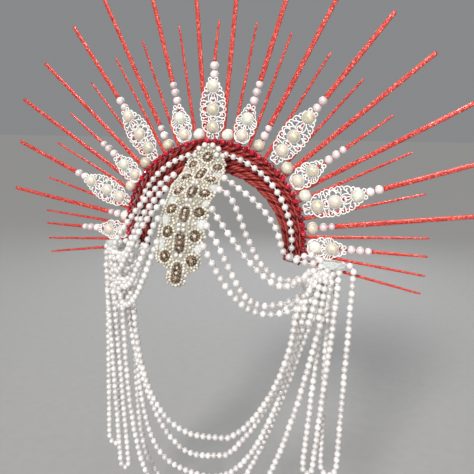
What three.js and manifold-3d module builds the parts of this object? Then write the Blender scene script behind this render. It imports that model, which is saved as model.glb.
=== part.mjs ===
import * as THREE from "three";
import { mergeVertices } from "three/addons/utils/BufferGeometryUtils.js";
import Module from "manifold-3d";

const wasm = await Module();
wasm.setup();

// A folk halo crown, in millimetres. The origin is the underside of the band's top, where it bears on
// the crown of the head. +Z is up and the wearer looks along -Y.

// Fan of spikes: all of them stand round one centre, in the plane y = 0.
const fanCentreZ = -67;
const spikeBaseRadius = 96.8;
const longTipRadius = 270;
const shortTipRadius = 213;
const longSpike = { baseWidth: 5, tipWidth: 4, thickness: 2.2 };
const shortSpike = { baseWidth: 3.8, tipWidth: 2, thickness: 1.9 };
const spikeTipThinning = 0.8;
const flatPart = 0.55; // share of a spike's width that is flat
const rodRadius = 1.3;
const mostThread = 2; // pearls closer than this share one waist

// Band: an arch of cords laid side by side, wide at its top and narrow at its ends.
const bandEndAngle = 103;
const bandOuterRadius = 96.5;
const bandInnerTop = 67;
const bandInnerEnd = 78;
const bandNarrowing = 1.6; // how late down the arch the band narrows
const bandBackY = 4;
const bandGrooveY = -3.6;
const bandRibY = -6.2;
const bandCords = 5;
const redRow = { radius: 98, beadRadius: 3, y: -7.2, endAngle: 94 };
const pearlRow = { radius: 86.5, beadRadius: 2.9, y: -9.3, endAngle: 100 };

// Pearls and the domed half pearls of the filigree leaves.
const smallPearl = 3.4;
const mediumPearl = 4.2;
const largePearl = 6.3;
const pearlShoulder = 0.41; // where a pearl's round side turns in, by its radius
const leafFrontY = -3.9;
const leafThickness = 1.6;
const leafPostRadius = 1.6;
const domeHeight = 0.72; // by its radius
const strandRadius = 3.4;
const seatGap = 0.3;

// One row for each spike from the middle out, once for each side. Its foot stands at one angle and it
// aims at another, in degrees from straight up: they were set by hand, so no two sides match. With
// basePearl, one large pearl also joins the spike to the next row's.
const spikeRows = [
  { leftFoot: 0, leftAim: 0, rightFoot: 0, rightAim: 0, long: false, trim: "large leaf", shift: -4 },
  { leftFoot: 5.4, leftAim: 5.4, rightFoot: 4.9, rightAim: 4.6, long: true, trim: "none",
    basePearl: { angle: 8.4, radius: 105 } },
  { leftFoot: 11.6, leftAim: 11.6, rightFoot: 11.4, rightAim: 9.4, long: false, trim: "none" },
  { leftFoot: 16.6, leftAim: 17.6, rightFoot: 17.4, rightAim: 14.8, long: true, trim: "small leaf" },
  { leftFoot: 22.1, leftAim: 20.3, rightFoot: 23.4, rightAim: 20.8, long: false, trim: "none" },
  { leftFoot: 27.1, leftAim: 27.5, rightFoot: 29.2, rightAim: 26.2, long: true, trim: "pearls" },
  { leftFoot: 33.4, leftAim: 31.4, rightFoot: 33.6, rightAim: 30, long: false, trim: "none" },
  { leftFoot: 38.8, leftAim: 38, rightFoot: 40.2, rightAim: 35.4, long: true, trim: "large leaf" },
  { leftFoot: 44.6, leftAim: 41.2, rightFoot: 45.2, rightAim: 40, long: false, trim: "none",
    basePearl: { angle: 46.4, radius: 107 } },
  { leftFoot: 48.5, leftAim: 49.3, rightFoot: 49.8, rightAim: 48, long: true, trim: "none" },
  { leftFoot: 55.4, leftAim: 53.2, rightFoot: 56.8, rightAim: 51.8, long: false, trim: "small leaf" },
  { leftFoot: 60, leftAim: 60.6, rightFoot: 61.6, rightAim: 58, long: true, trim: "none",
    tip: 274, basePearl: { angle: 63.5, radius: 107.5 } },
  { leftFoot: 65, leftAim: 63.6, rightFoot: 66.2, rightAim: 62.8, long: false, trim: "none" },
  { leftFoot: 70.3, leftAim: 71.6, rightFoot: 73.2, rightAim: 67, long: true, trim: "large leaf",
    tip: 262 },
  { leftFoot: 75.4, leftAim: 74.4, rightFoot: 77.4, rightAim: 74.6, long: false, trim: "none" },
  { leftFoot: 81.2, leftAim: 81.3, rightFoot: 82.6, rightAim: 81.2, long: true, trim: "pearls", tip: 259 },
  { leftFoot: 86, leftAim: 85.7, rightFoot: 87.6, rightAim: 85.6, long: false, trim: "none" },
  { leftFoot: 91.4, leftAim: 89.8, rightFoot: 91.6, rightAim: 90, long: false, trim: "small leaf" },
  { leftFoot: 95.2, leftAim: 95.8, rightFoot: 96.8, rightAim: 94.6, long: false, trim: "none" },
  { leftFoot: 100.2, leftAim: 100.4, rightFoot: 101.2, rightAim: 99, long: false, trim: "none" },
];

// What is threaded on a trimmed spike: pearls by radius from the fan's centre.
const threaded = {
  "large leaf": [{ at: 166.6, size: mediumPearl }, { at: 175.2, size: mediumPearl }],
  "small leaf": [
    { at: 143.6, size: mediumPearl }, { at: 152, size: mediumPearl }, { at: 159.7, size: smallPearl },
  ],
  pearls: [
    { at: 106, size: largePearl }, { at: 116.7, size: mediumPearl }, { at: 124.8, size: smallPearl },
  ],
};

// Filigree leaves: half width of the outline, gaps cut through, and domes, all by radius from the centre.
const leaves = {
  "large leaf": {
    outline: [
      { at: 102, half: 3.8 }, { at: 106, half: 6 }, { at: 110.5, half: 6.6 }, { at: 115, half: 10.4 },
      { at: 124, half: 12.8 }, { at: 133, half: 13.5 }, { at: 146, half: 12 }, { at: 153, half: 8.8 },
      { at: 160.5, half: 6 }, { at: 163, half: 3.8 },
    ],
    gaps: [
      { at: 123.6, side: 7, length: 2.6, width: 1.6 },
      { at: 133, side: 9.4, length: 2.4, width: 1.6 },
      { at: 143.4, side: 6.6, length: 3, width: 1.7 },
    ],
    domes: [{ at: 115.6, size: 6.2 }, { at: 133, size: 6.2 }, { at: 155.4, size: 6.2 }],
  },
  "small leaf": {
    outline: [
      { at: 101.5, half: 3.6 }, { at: 104.5, half: 6.8 }, { at: 114, half: 9.4 },
      { at: 122, half: 9.6 }, { at: 127, half: 7.6 }, { at: 134, half: 4.8 }, { at: 138.6, half: 2.6 },
    ],
    gaps: [
      { at: 117, side: 5, length: 1.8, width: 1.4 },
      { at: 133.6, side: 1.9, length: 1.6, width: 0.9 },
    ],
    domes: [{ at: 108.4, size: 6 }, { at: 125.4, size: 6 }],
  },
};

// Forehead plaque: a beaded strip that lies on the band, the hair and the forehead. Each row is a
// station down its middle, with its half width there.
const plaqueThickness = 3;
const plaqueHeadRadius = 80;
const plaqueRows = [
  { y: -14.2, z: 30, half: 9 },
  { y: -14.5, z: 25, half: 15 },
  { y: -16, z: 15, half: 18 },
  { y: -22, z: 5, half: 20 },
  { y: -36, z: -2, half: 21 },
  { y: -52, z: -11, half: 23 },
  { y: -65, z: -24, half: 22 },
  { y: -74, z: -38, half: 22 },
  { y: -79, z: -50, half: 21.5 },
  { y: -82, z: -61, half: 22 },
  { y: -85, z: -71, half: 22 },
  { y: -87.5, z: -79, half: 13 },
  { y: -90, z: -86, half: 9.5 },
  { y: -92.5, z: -92, half: 8.5 },
  { y: -94, z: -96, half: 4.5 },
];

// Flower stones on the plaque: station along its rows and place across it.
const plaqueStones = [
  { row: 1.8, side: 0 }, { row: 3.4, side: -11 }, { row: 3.4, side: 10 }, { row: 4.6, side: 0 },
  { row: 5.2, side: -16 }, { row: 5.2, side: 14 }, { row: 6.3, side: -10 }, { row: 6.3, side: 4 },
  { row: 6.4, side: 17 }, { row: 7.6, side: -15 }, { row: 7.8, side: 0 }, { row: 7.6, side: 15 },
  { row: 8.9, side: -16 }, { row: 8.8, side: 0 }, { row: 9.1, side: 14 }, { row: 9.4, side: 0 },
  { row: 10, side: -12 }, { row: 10.2, side: 11 }, { row: 11.1, side: 0 }, { row: 12.4, side: 0 },
];
const stoneRadius = 4.2;
const stoneTopRadius = 1.9;
const stoneHeight = 3.2;
const stoneLift = 1.9; // of the stone's middle above the plaque's

// Pearl strings over the brow, from the plaque's edge to the gathered bundle on the same side. Each is
// one curve by its four corners; side is 1 for the wearer's left. They were strung by hand, so no two
// sides match.
const browStrings = [
  { number: 1, side: 1, from: [24, -38, -1], out: [116, -40, -52],
    into: [55, -34, -72], to: [106, -18, -82] },
  { number: 2, side: 1, from: [25, -55, -12], out: [54, -57, 0],
    into: [49, -42, -129], to: [107, -17, -92] },
  { number: 3, side: 1, from: [24, -67, -26], out: [106, -69, -141],
    into: [96, -50, -72], to: [106, -22, -103] },
  { number: 4, side: 1, from: [22, -75, -40], out: [61, -77, -91],
    into: [44, -54, -144], to: [106, -20, -112] },
  { number: 5, side: 1, from: [21, -80, -58], out: [38, -82, -79],
    into: [49, -56, -157], to: [107, -20, -121] },
  { number: 1, side: -1, from: [-24, -38, -1], out: [-50, -40, -8],
    into: [-112, -34, -89], to: [-106, -18, -84] },
  { number: 2, side: -1, from: [-25, -55, -12], out: [-72, -57, -49],
    into: [-79, -42, -110], to: [-106, -17, -96] },
  { number: 3, side: -1, from: [-25, -60, -24], out: [-60, -62, -48],
    into: [-89, -47, -126], to: [-106, -22, -104] },
  { number: 4, side: -1, from: [-23, -74, -38], out: [-35, -76, -40],
    into: [-71, -53, -152], to: [-106, -20, -117] },
  { number: 5, side: -1, from: [-22, -80, -58], out: [-26, -82, -60],
    into: [-73, -56, -182], to: [-106, -20, -127] },
];

// Gathered bundle of pearl strings at each end of the band, by height: inner and outer x.
const bundleFrontY = -28;
const bundleBackY = -1.9;
const bundleRows = [
  { z: -79.6, inner: 106, outer: 130, front: -20 },
  { z: -85, inner: 98, outer: 136, front: -26 },
  { z: -96, inner: 95.5, outer: 136, front: bundleFrontY },
  { z: -120, inner: 95, outer: 135, front: bundleFrontY },
  { z: -146, inner: 90, outer: 135, front: bundleFrontY },
];

// Loops that hang from one bundle under the chin to the other.
const neckTopZ = -146.3;
// For each side: its half width at the top, how far it leans in, where down its fall it starts to round,
// how wide it is at the bottom, and its depth.
const neckLoops = [
  { middle: 26.6, bottom: -275.8, bottomY: -38,
    right: { half: 86.6, lean: 14.5, drop: 1.34, width: 0.19, y: -30 },
    left: { half: 96.6, lean: 8.7, drop: 0.57, width: 0.2, y: -30.2 } },
  { middle: 22.6, bottom: -302.5, bottomY: -30.8,
    right: { half: 94.4, lean: 37, drop: 1.38, width: 0.2, y: -22.8 },
    left: { half: 98.6, lean: 0.1, drop: 0.3, width: 0.2, y: -23 } },
  { middle: -1.3, bottom: -338.5, bottomY: -23.6,
    right: { half: 91.8, lean: 10.4, drop: 0.91, width: 0.7, y: -15.6 },
    left: { half: 103.2, lean: 15.7, drop: 0.24, width: 0.68, y: -15.8 } },
  { middle: 8.9, bottom: -373.9, bottomY: -16.4,
    right: { half: 94.3, lean: 5.8, drop: 0.89, width: 1.08, y: -8.4 },
    left: { half: 109.8, lean: 10.9, drop: 0.1, width: 0.4, y: -8.6 } },
  { middle: 5.9, bottom: -398, bottomY: -30,
    right: { half: 93.9, lean: 3.9, drop: 0.68, width: 0.89, y: -30 },
    left: { half: 119.7, lean: 10.5, drop: 0.2, width: 0.58, y: -23 } },
];

// Loops that hang free beside the neck. Each leg runs from its x at the top to its x near the bottom;
// the outer leg of the first one starts higher, at the bundle's shoulder.
const sideLoops = [
  { name: "outer_left", y: -6.6, outer: [147.6, 143.4], inner: [124.5, 126.5], bottom: -316, startZ: -88 },
  { name: "inner_left", y: -15, outer: [131.9, 119.5], inner: [119.6, 109.3], bottom: -312 },
  { name: "outer_right", y: -6.6, outer: [-127.5, -133], inner: [-119, -119.5], bottom: -340 },
  { name: "inner_right", y: -15, outer: [-122, -113], inner: [-114, -102], bottom: -362 },
];

const crown = new THREE.Group();

function finish(color, roughness, metalness = 0) {
  return new THREE.MeshStandardMaterial({ color, roughness, metalness });
}

const glitterRed = finish("#d8463c", 0.45, 0.1);
const cordRed = finish("#8e2420", 0.5);
const glassRed = finish("#c8102e", 0.12);
const pearlWhite = finish("#e6e2dc", 0.22);
const plaqueCream = finish("#cfc3ac", 0.4);

// Closed solid through rings of the same number of points, each ring turned the same way.
function loft(rings) {
  const count = rings[0].length;
  const position = rings.flat().flatMap((p) => [p.x, p.y, p.z]);
  const index = [];
  for (let r = 0; r + 1 < rings.length; r += 1) {
    for (let k = 0; k < count; k += 1) {
      const a = r * count + k;
      const b = r * count + ((k + 1) % count);
      index.push(a, b, b + count, a, b + count, a + count);
    }
  }
  const last = (rings.length - 1) * count;
  const flat = THREE.ShapeUtils.triangulateShape(flatten(rings[0]), []);
  for (const [a, b, c] of flat) index.push(c, b, a);
  const flatEnd = THREE.ShapeUtils.triangulateShape(flatten(rings[rings.length - 1]), []);
  for (const [a, b, c] of flatEnd) index.push(last + a, last + b, last + c);
  const geometry = new THREE.BufferGeometry();
  geometry.setAttribute("position", new THREE.Float32BufferAttribute(position, 3));
  geometry.setIndex(index);
  return facingOut(geometry);
}

// A ring's points in its own plane, for its end cap.
function flatten(ring) {
  const origin = ring[0];
  const along = ring[1].clone().sub(origin).normalize();
  let normal = new THREE.Vector3();
  for (let k = 0; k < ring.length; k += 1) {
    normal.add(ring[k].clone().cross(ring[(k + 1) % ring.length]));
  }
  normal = normal.normalize();
  const across = normal.clone().cross(along);
  return ring.map((p) => {
    const from = p.clone().sub(origin);
    return new THREE.Vector2(from.dot(along), from.dot(across));
  });
}

// Turns every face round if the solid is inside out.
function facingOut(geometry) {
  const p = geometry.getAttribute("position");
  const index = geometry.index.array;
  const corner = [0, 1, 2].map(() => new THREE.Vector3());
  let volume = 0;
  for (let k = 0; k < index.length; k += 3) {
    corner.forEach((v, n) => v.fromBufferAttribute(p, index[k + n]));
    volume += corner[0].dot(corner[1].clone().cross(corner[2]));
  }
  if (volume < 0) {
    for (let k = 0; k < index.length; k += 3) {
      [index[k + 1], index[k + 2]] = [index[k + 2], index[k + 1]];
    }
  }
  return geometry;
}

function toSolid(geometry) {
  const bare = new THREE.BufferGeometry();
  const source = geometry.index ? geometry.toNonIndexed() : geometry;
  bare.setAttribute("position", source.getAttribute("position"));
  const merged = facingOut(mergeVertices(bare, 1e-4));
  return new wasm.Manifold(new wasm.Mesh({
    numProp: 3,
    vertProperties: merged.getAttribute("position").array,
    triVerts: new Uint32Array(merged.index.array),
  }));
}

function toGeometry(solid) {
  const mesh = solid.getMesh();
  const geometry = new THREE.BufferGeometry();
  geometry.setAttribute("position", new THREE.Float32BufferAttribute(mesh.vertProperties, 3));
  geometry.setIndex([...mesh.triVerts]);
  return geometry;
}

function join(geometries) {
  return geometries.map(toSolid).reduce((whole, next) => whole.add(next));
}

function addNode(name, geometry, material) {
  geometry.computeVertexNormals();
  const mesh = new THREE.Mesh(geometry, material);
  mesh.name = name;
  crown.add(mesh);
}

// A flat oval ring across a spike that runs along +Z.
function spikeRing(width, thickness, z) {
  const half = width / 2;
  const side = thickness / 2;
  const flat = half * flatPart;
  const corners = [[half, 0], [flat, side], [-flat, side], [-half, 0], [-flat, -side], [flat, -side]];
  return corners.map(([x, y]) => new THREE.Vector3(x, y, z));
}

// Rod with its pearls, turned about the spike's axis. Pearls that nearly touch share one waist.
function pearlRod(pearls, from) {
  const profile = [new THREE.Vector2(0, from), new THREE.Vector2(rodRadius, from)];
  let sharedWaist = false;
  for (const [number, { at, size }] of pearls.entries()) {
    const next = pearls[number + 1];
    const top = at + size;
    if (!sharedWaist) profile.push(new THREE.Vector2(rodRadius, at - size));
    profile.push(new THREE.Vector2(size, at - size * pearlShoulder));
    profile.push(new THREE.Vector2(size, at + size * pearlShoulder));
    const nextFoot = next ? next.at - next.size : Infinity;
    sharedWaist = nextFoot - top < mostThread;
    profile.push(new THREE.Vector2(rodRadius, sharedWaist ? (top + nextFoot) / 2 : top));
  }
  profile.push(new THREE.Vector2(0, profile[profile.length - 1].y));
  return new THREE.LatheGeometry(profile, 10).rotateX(Math.PI / 2);
}

// Half pearl whose flat back lies on y = 0 and whose dome looks along -Y, centred at z.
function dome(size, z, backY) {
  const height = size * domeHeight;
  const corners = [[0, 0], [size, 0], [size * 0.74, height * 0.68], [0, height]];
  const profile = corners.map(([radius, rise]) => new THREE.Vector2(radius, rise));
  return new THREE.LatheGeometry(profile, 10).rotateX(Math.PI).translate(0, backY, z);
}

// Pierced leaf with its domes, and posts that hold it to the rod behind it.
function leafSolid({ outline, gaps, domes }) {
  const rightRim = outline.map((row) => new THREE.Vector2(row.half, row.at));
  const leftRim = outline.map((row) => new THREE.Vector2(-row.half, row.at)).reverse();
  const shape = new THREE.Shape([...rightRim, ...leftRim]);
  for (const gap of gaps) {
    for (const side of [1, -1]) {
      const hole = new THREE.Path();
      const corners = 5;
      for (let k = 0; k < corners; k += 1) {
        const turn = (k / corners) * Math.PI * 2 + Math.PI / 2;
        const x = side * gap.side + gap.width * Math.cos(turn);
        hole[k ? "lineTo" : "moveTo"](x, gap.at + gap.length * Math.sin(turn));
      }
      hole.closePath();
      shape.holes.push(hole);
    }
  }
  const plate = new THREE.ExtrudeGeometry(shape, { depth: leafThickness, bevelEnabled: false })
    .rotateX(Math.PI / 2)
    .translate(0, leafFrontY + leafThickness, 0);
  const pieces = [plate];
  const plateMiddle = leafFrontY + leafThickness / 2;
  for (const { at, size } of domes) pieces.push(dome(size, at, plateMiddle));
  const post = new THREE.CylinderGeometry(leafPostRadius, leafPostRadius, -plateMiddle, 5);
  pieces.push(post.translate(0, plateMiddle / 2, domes[0].at));
  return join(pieces);
}

// One spike along +Z from the fan's centre, with its pearls and leaf.
function spikeSolid({ long, trim, shift = 0, tip }) {
  const size = long ? longSpike : shortSpike;
  const tipRadius = tip ?? (long ? longTipRadius : shortTipRadius);
  const pearls = (threaded[trim] ?? []).map((pearl) => ({ at: pearl.at + shift, size: pearl.size }));
  const topPearl = pearls[pearls.length - 1];
  const bladeFrom = topPearl ? topPearl.at + topPearl.size : spikeBaseRadius;
  const blade = loft([
    spikeRing(size.baseWidth, size.thickness, bladeFrom),
    spikeRing(size.tipWidth, size.thickness * spikeTipThinning, tipRadius),
  ]);
  let solid = toSolid(blade);
  if (pearls.length) solid = solid.add(toSolid(pearlRod(pearls, spikeBaseRadius)));
  if (leaves[trim]) solid = solid.add(leafSolid(leaves[trim]).translate([0, 0, shift]));
  return solid;
}

// Turns a solid made along +Z to its angle in the fan.
function inFan(solid, angle) {
  return solid.rotate([0, angle, 0]).translate([0, 0, fanCentreZ]);
}

// Stands a spike made along +Z on its foot, and leans it the way that it aims.
function standing(row, side) {
  const [foot, aim] = side > 0 ? [row.leftFoot, row.leftAim] : [row.rightFoot, row.rightAim];
  const seat = inPlane(side * foot, spikeBaseRadius, 0);
  const upright = spikeSolid(row).translate([0, 0, -spikeBaseRadius]);
  return upright.rotate([0, side * aim, 0]).translate([seat.x, seat.y, seat.z]);
}

function buildSpikes() {
  for (const [number, row] of spikeRows.entries()) {
    const joinedAlready = number > 0 && spikeRows[number - 1].basePearl;
    if (joinedAlready) continue;
    for (const side of number ? [1, -1] : [1]) {
      const names = [number];
      let solid = standing(row, side);
      if (row.basePearl) {
        const next = spikeRows[number + 1];
        const { angle, radius } = row.basePearl;
        const pearl = toSolid(new THREE.SphereGeometry(largePearl, 10, 5)).translate([0, 0, radius]);
        solid = solid.add(inFan(pearl, side * angle));
        solid = solid.add(standing(next, side));
        names.push(number + 1);
      }
      const end = number ? (side > 0 ? "_left" : "_right") : "_centre";
      const word = names.length > 1 ? "spikes_" : "spike_";
      addNode(word + names.join("_") + end, toGeometry(solid), glitterRed);
    }
  }
}

// A point in the fan's plane, by its angle from straight up and its radius.
function inPlane(angle, radius, y) {
  const turn = THREE.MathUtils.degToRad(angle);
  return new THREE.Vector3(radius * Math.sin(turn), y, fanCentreZ + radius * Math.cos(turn));
}

function buildBand() {
  const steps = 26;
  const rings = [];
  for (let s = 0; s <= steps; s += 1) {
    const angle = THREE.MathUtils.lerp(-bandEndAngle, bandEndAngle, s / steps);
    const narrowing = Math.pow(Math.abs(angle) / bandEndAngle, bandNarrowing);
    const inner = THREE.MathUtils.lerp(bandInnerTop, bandInnerEnd, narrowing);
    const cord = (bandOuterRadius - inner) / bandCords;
    const ring = [inPlane(angle, inner, bandBackY), inPlane(angle, inner, bandGrooveY)];
    for (let c = 0; c < bandCords; c += 1) {
      ring.push(inPlane(angle, inner + cord * (c + 0.5), bandRibY));
      ring.push(inPlane(angle, inner + cord * (c + 1), bandGrooveY));
    }
    ring.push(inPlane(angle, bandOuterRadius, bandBackY));
    rings.push(ring);
  }
  addNode("headband", loft(rings), cordRed);
}

// String of beads as a tube of their diameter along a curve.
function beadTube(curve, radius, length) {
  const sides = 8;
  const stepLength = radius * 6;
  const steps = Math.max(4, Math.round(length / stepLength));
  const section = new THREE.Shape();
  for (let k = 0; k < sides; k += 1) {
    const turn = (k / sides) * Math.PI * 2;
    section[k ? "lineTo" : "moveTo"](radius * Math.cos(turn), radius * Math.sin(turn));
  }
  section.closePath();
  return new THREE.ExtrudeGeometry(section, { steps, bevelEnabled: false, extrudePath: curve });
}

// Row of beads laid along the band.
function buildRow(name, { radius, beadRadius, y, endAngle }, material) {
  const points = [];
  const stations = 24;
  for (let s = 0; s <= stations; s += 1) {
    points.push(inPlane(THREE.MathUtils.lerp(-endAngle, endAngle, s / stations), radius, y));
  }
  const curve = new THREE.CatmullRomCurve3(points);
  addNode(name, beadTube(curve, beadRadius, curve.getLength()), material);
}

// The plaque's cross section at a station between its rows, grown on every side.
function plaqueRing(station, grow = 0) {
  const low = Math.min(Math.floor(station), plaqueRows.length - 2);
  const part = station - low;
  const mix = (key) => THREE.MathUtils.lerp(plaqueRows[low][key], plaqueRows[low + 1][key], part);
  const half = mix("half") + grow;
  const before = plaqueRows[Math.max(low - (part ? 0 : 1), 0)];
  const after = plaqueRows[Math.min(low + 1, plaqueRows.length - 1)];
  const run = new THREE.Vector3(0, after.y - before.y, after.z - before.z).normalize();
  const outward = new THREE.Vector3(0, run.z, -run.y);
  const middle = new THREE.Vector3(0, mix("y"), mix("z"));
  const place = (side, lift) => {
    const x = side * half;
    const drop = Math.pow(x, 2) / (2 * plaqueHeadRadius);
    return middle.clone().addScaledVector(outward, lift - drop).setX(x);
  };
  const thick = plaqueThickness / 2 + grow;
  const edge = thick * 0.4;
  const back = [-1, -0.5, 0.5, 1].map((side) => place(side, -thick));
  return [...back, place(1, edge), place(0.5, thick), place(-0.5, thick), place(-1, edge)];
}

function plaqueBody(grow) {
  return toSolid(loft(plaqueRows.map((row, number) => plaqueRing(number, grow))));
}

function buildPlaque() {
  let solid = plaqueBody(0);
  for (const { row, side } of plaqueStones) {
    const [, backRight, backLeft, , , frontLeft, frontRight] = plaqueRing(row);
    const middle = backRight.clone().add(backLeft).add(frontLeft).add(frontRight).multiplyScalar(0.25);
    const outward = frontRight.clone().add(frontLeft).sub(backRight).sub(backLeft).setX(0).normalize();
    const lean = side / plaqueHeadRadius;
    const normal = outward.clone().multiplyScalar(Math.cos(lean)).setX(Math.sin(lean));
    const drop = Math.pow(side, 2) / (2 * plaqueHeadRadius);
    const seat = middle.clone().addScaledVector(outward, -drop).setX(side);
    const place = seat.addScaledVector(normal, stoneLift);
    const stone = new THREE.CylinderGeometry(stoneTopRadius, stoneRadius, stoneHeight, 8);
    stone.applyQuaternion(new THREE.Quaternion().setFromUnitVectors(new THREE.Vector3(0, 1, 0), normal));
    solid = solid.add(toSolid(stone.translate(place.x, place.y, place.z)));
  }
  addNode("forehead_plaque", toGeometry(solid), plaqueCream);
}

// Bundle on one side, grown by a clearance when it trims its neighbours. Its section is a rounded
// rectangle.
function bundleBody(side, grow) {
  const corners = 10;
  const rings = bundleRows.map(({ z, inner, outer, front }, number) => {
    const middle = { x: (inner + outer) / 2, y: (front + bundleBackY) / 2 };
    const half = { x: (outer - inner) / 2 + grow, y: (bundleBackY - front) / 2 + grow };
    let lift = 0;
    if (number === 0) lift = grow;
    if (number === bundleRows.length - 1) lift = -grow;
    const ring = [];
    for (let k = 0; k < corners; k += 1) {
      const turn = ((k + 0.5) / corners) * Math.PI * 2;
      const [c, s] = [Math.cos(turn), Math.sin(turn)];
      const reach = Math.pow(Math.pow(c, 4) + Math.pow(s, 4), -0.25);
      const x = side * (middle.x + half.x * reach * c);
      ring.push(new THREE.Vector3(x, middle.y + half.y * reach * s, z + lift));
    }
    return ring;
  });
  return toSolid(loft(rings));
}

function sideName(side) {
  return side > 0 ? "_left" : "_right";
}

function buildBundles() {
  for (const side of [1, -1]) {
    addNode("gathered_bundle" + sideName(side), toGeometry(bundleBody(side, 0)), pearlWhite);
  }
}

// What is left of a string between its two seats, without its cut ends.
function largestPiece(solid) {
  return solid.decompose().reduce((most, next) => (next.volume() > most.volume() ? next : most));
}

function buildBrowStrings() {
  const plaque = plaqueBody(seatGap);
  for (const { number, side, from, out, into, to } of browStrings) {
    const corners = [from, out, into, to].map(([x, y, z]) => new THREE.Vector3(x, y, z));
    const curve = new THREE.CubicBezierCurve3(...corners);
    const tube = toSolid(beadTube(curve, strandRadius, curve.getLength()));
    const trimmed = largestPiece(tube.subtract(bundleBody(side, seatGap)).subtract(plaque));
    addNode("brow_string_" + number + sideName(side), toGeometry(trimmed), pearlWhite);
  }
}

function buildNeckLoops() {
  for (const [number, { middle, bottom, bottomY, right, left }] of neckLoops.entries()) {
    const sideDown = (side, { half, lean, drop, width, y }) => {
      const fall = drop * (neckTopZ - bottom);
      const tilt = strandRadius * Math.abs(lean) / Math.hypot(lean, fall); // keeps a leaning end clear
      return [
        new THREE.Vector3(side * half, y, neckTopZ - tilt),
        new THREE.Vector3(side * (half - lean), y, neckTopZ - fall),
        new THREE.Vector3(middle + side * half * width, bottomY, bottom),
        new THREE.Vector3(middle, bottomY, bottom),
      ];
    };
    const path = new THREE.CurvePath();
    path.add(new THREE.CubicBezierCurve3(...sideDown(-1, right)));
    path.add(new THREE.CubicBezierCurve3(...sideDown(1, left).reverse()));
    const name = "neck_loop_" + (number + 1);
    addNode(name, beadTube(path, strandRadius, path.getLength()), pearlWhite);
  }
}

function buildSideLoops() {
  const sag = 3;
  for (const { name, y, outer, inner, bottom, startZ = neckTopZ } of sideLoops) {
    const [outerTop, outerLow] = outer;
    const [innerTop, innerLow] = inner;
    const turnZ = bottom + Math.abs(outerLow - innerLow);
    const point = (x, z) => new THREE.Vector3(x, y, z);
    const outerTurn = point(outerLow, turnZ);
    const innerTurn = point(innerLow, turnZ);
    const under = [point(outerLow, bottom - sag), point(innerLow, bottom - sag)];
    const path = new THREE.CurvePath();
    path.add(new THREE.LineCurve3(point(outerTop, startZ), outerTurn));
    path.add(new THREE.CubicBezierCurve3(outerTurn, ...under, innerTurn));
    path.add(new THREE.LineCurve3(innerTurn, point(innerTop, neckTopZ)));
    addNode("side_loop_" + name, beadTube(path, strandRadius, path.getLength()), pearlWhite);
  }
}

buildSpikes();
buildBand();
buildRow("red_bead_row", redRow, glassRed);
buildRow("band_pearl_row", pearlRow, pearlWhite);
buildPlaque();
buildBundles();
buildBrowStrings();
buildNeckLoops();
buildSideLoops();

export default crown;
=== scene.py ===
# A folk halo crown: red glitter spikes with filigree leaves, a corded band, a beaded forehead
# plaque and long strings of pearls. All the sizes below are in millimetres.
import math
import random

import bpy
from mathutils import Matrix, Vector, noise


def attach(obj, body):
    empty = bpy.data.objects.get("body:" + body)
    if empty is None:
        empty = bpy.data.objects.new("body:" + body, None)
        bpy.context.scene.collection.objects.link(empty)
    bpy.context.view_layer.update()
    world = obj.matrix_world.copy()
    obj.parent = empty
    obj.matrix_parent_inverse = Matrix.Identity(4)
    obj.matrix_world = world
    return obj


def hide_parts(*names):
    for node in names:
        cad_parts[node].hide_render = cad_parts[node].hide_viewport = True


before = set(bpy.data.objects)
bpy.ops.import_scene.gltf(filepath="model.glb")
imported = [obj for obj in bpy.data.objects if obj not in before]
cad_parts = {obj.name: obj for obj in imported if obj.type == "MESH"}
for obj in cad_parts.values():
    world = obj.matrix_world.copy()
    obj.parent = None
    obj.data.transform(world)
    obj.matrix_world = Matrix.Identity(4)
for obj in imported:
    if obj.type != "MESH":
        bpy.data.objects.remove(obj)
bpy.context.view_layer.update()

random.seed(11)
mm = 0.001
yAxis = Vector((0, 1, 0))


# Colours and nodes

def hexToLinear(text):
    parts = [int(text[k:k + 2], 16) / 255 for k in (1, 3, 5)]
    linear = [p / 12.92 if p <= 0.04045 else ((p + 0.055) / 1.055) ** 2.4 for p in parts]
    return (*linear, 1.0)


def linkInputs(tree, node, links):
    # A link names the input that it feeds, its source and the source's output.
    for name, (source, output) in links.items():
        tree.links.new(source.outputs[output], node.inputs[name])


def addNode(tree, kind, settings=None, links=None):
    # A setting is an option of the node or the value of an input.
    node = tree.nodes.new(kind)
    for name, value in (settings or {}).items():
        if name == "stops":
            ramp = node.color_ramp
            while len(ramp.elements) < len(value):
                ramp.elements.new(1)
            for element, (place, colour) in zip(ramp.elements, value):
                element.position = place
                element.color = hexToLinear(colour)
        elif isinstance(name, str) and hasattr(node, name):
            setattr(node, name, value)
        else:
            node.inputs[name].default_value = value
    linkInputs(tree, node, links or {})
    return node


def newMaterial(name, settings):
    material = bpy.data.materials.new(name)
    material.use_nodes = True
    tree = material.node_tree
    shader = tree.nodes["Principled BSDF"]
    for key, value in settings.items():
        shader.inputs[key].default_value = value
    return material, tree, shader


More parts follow.
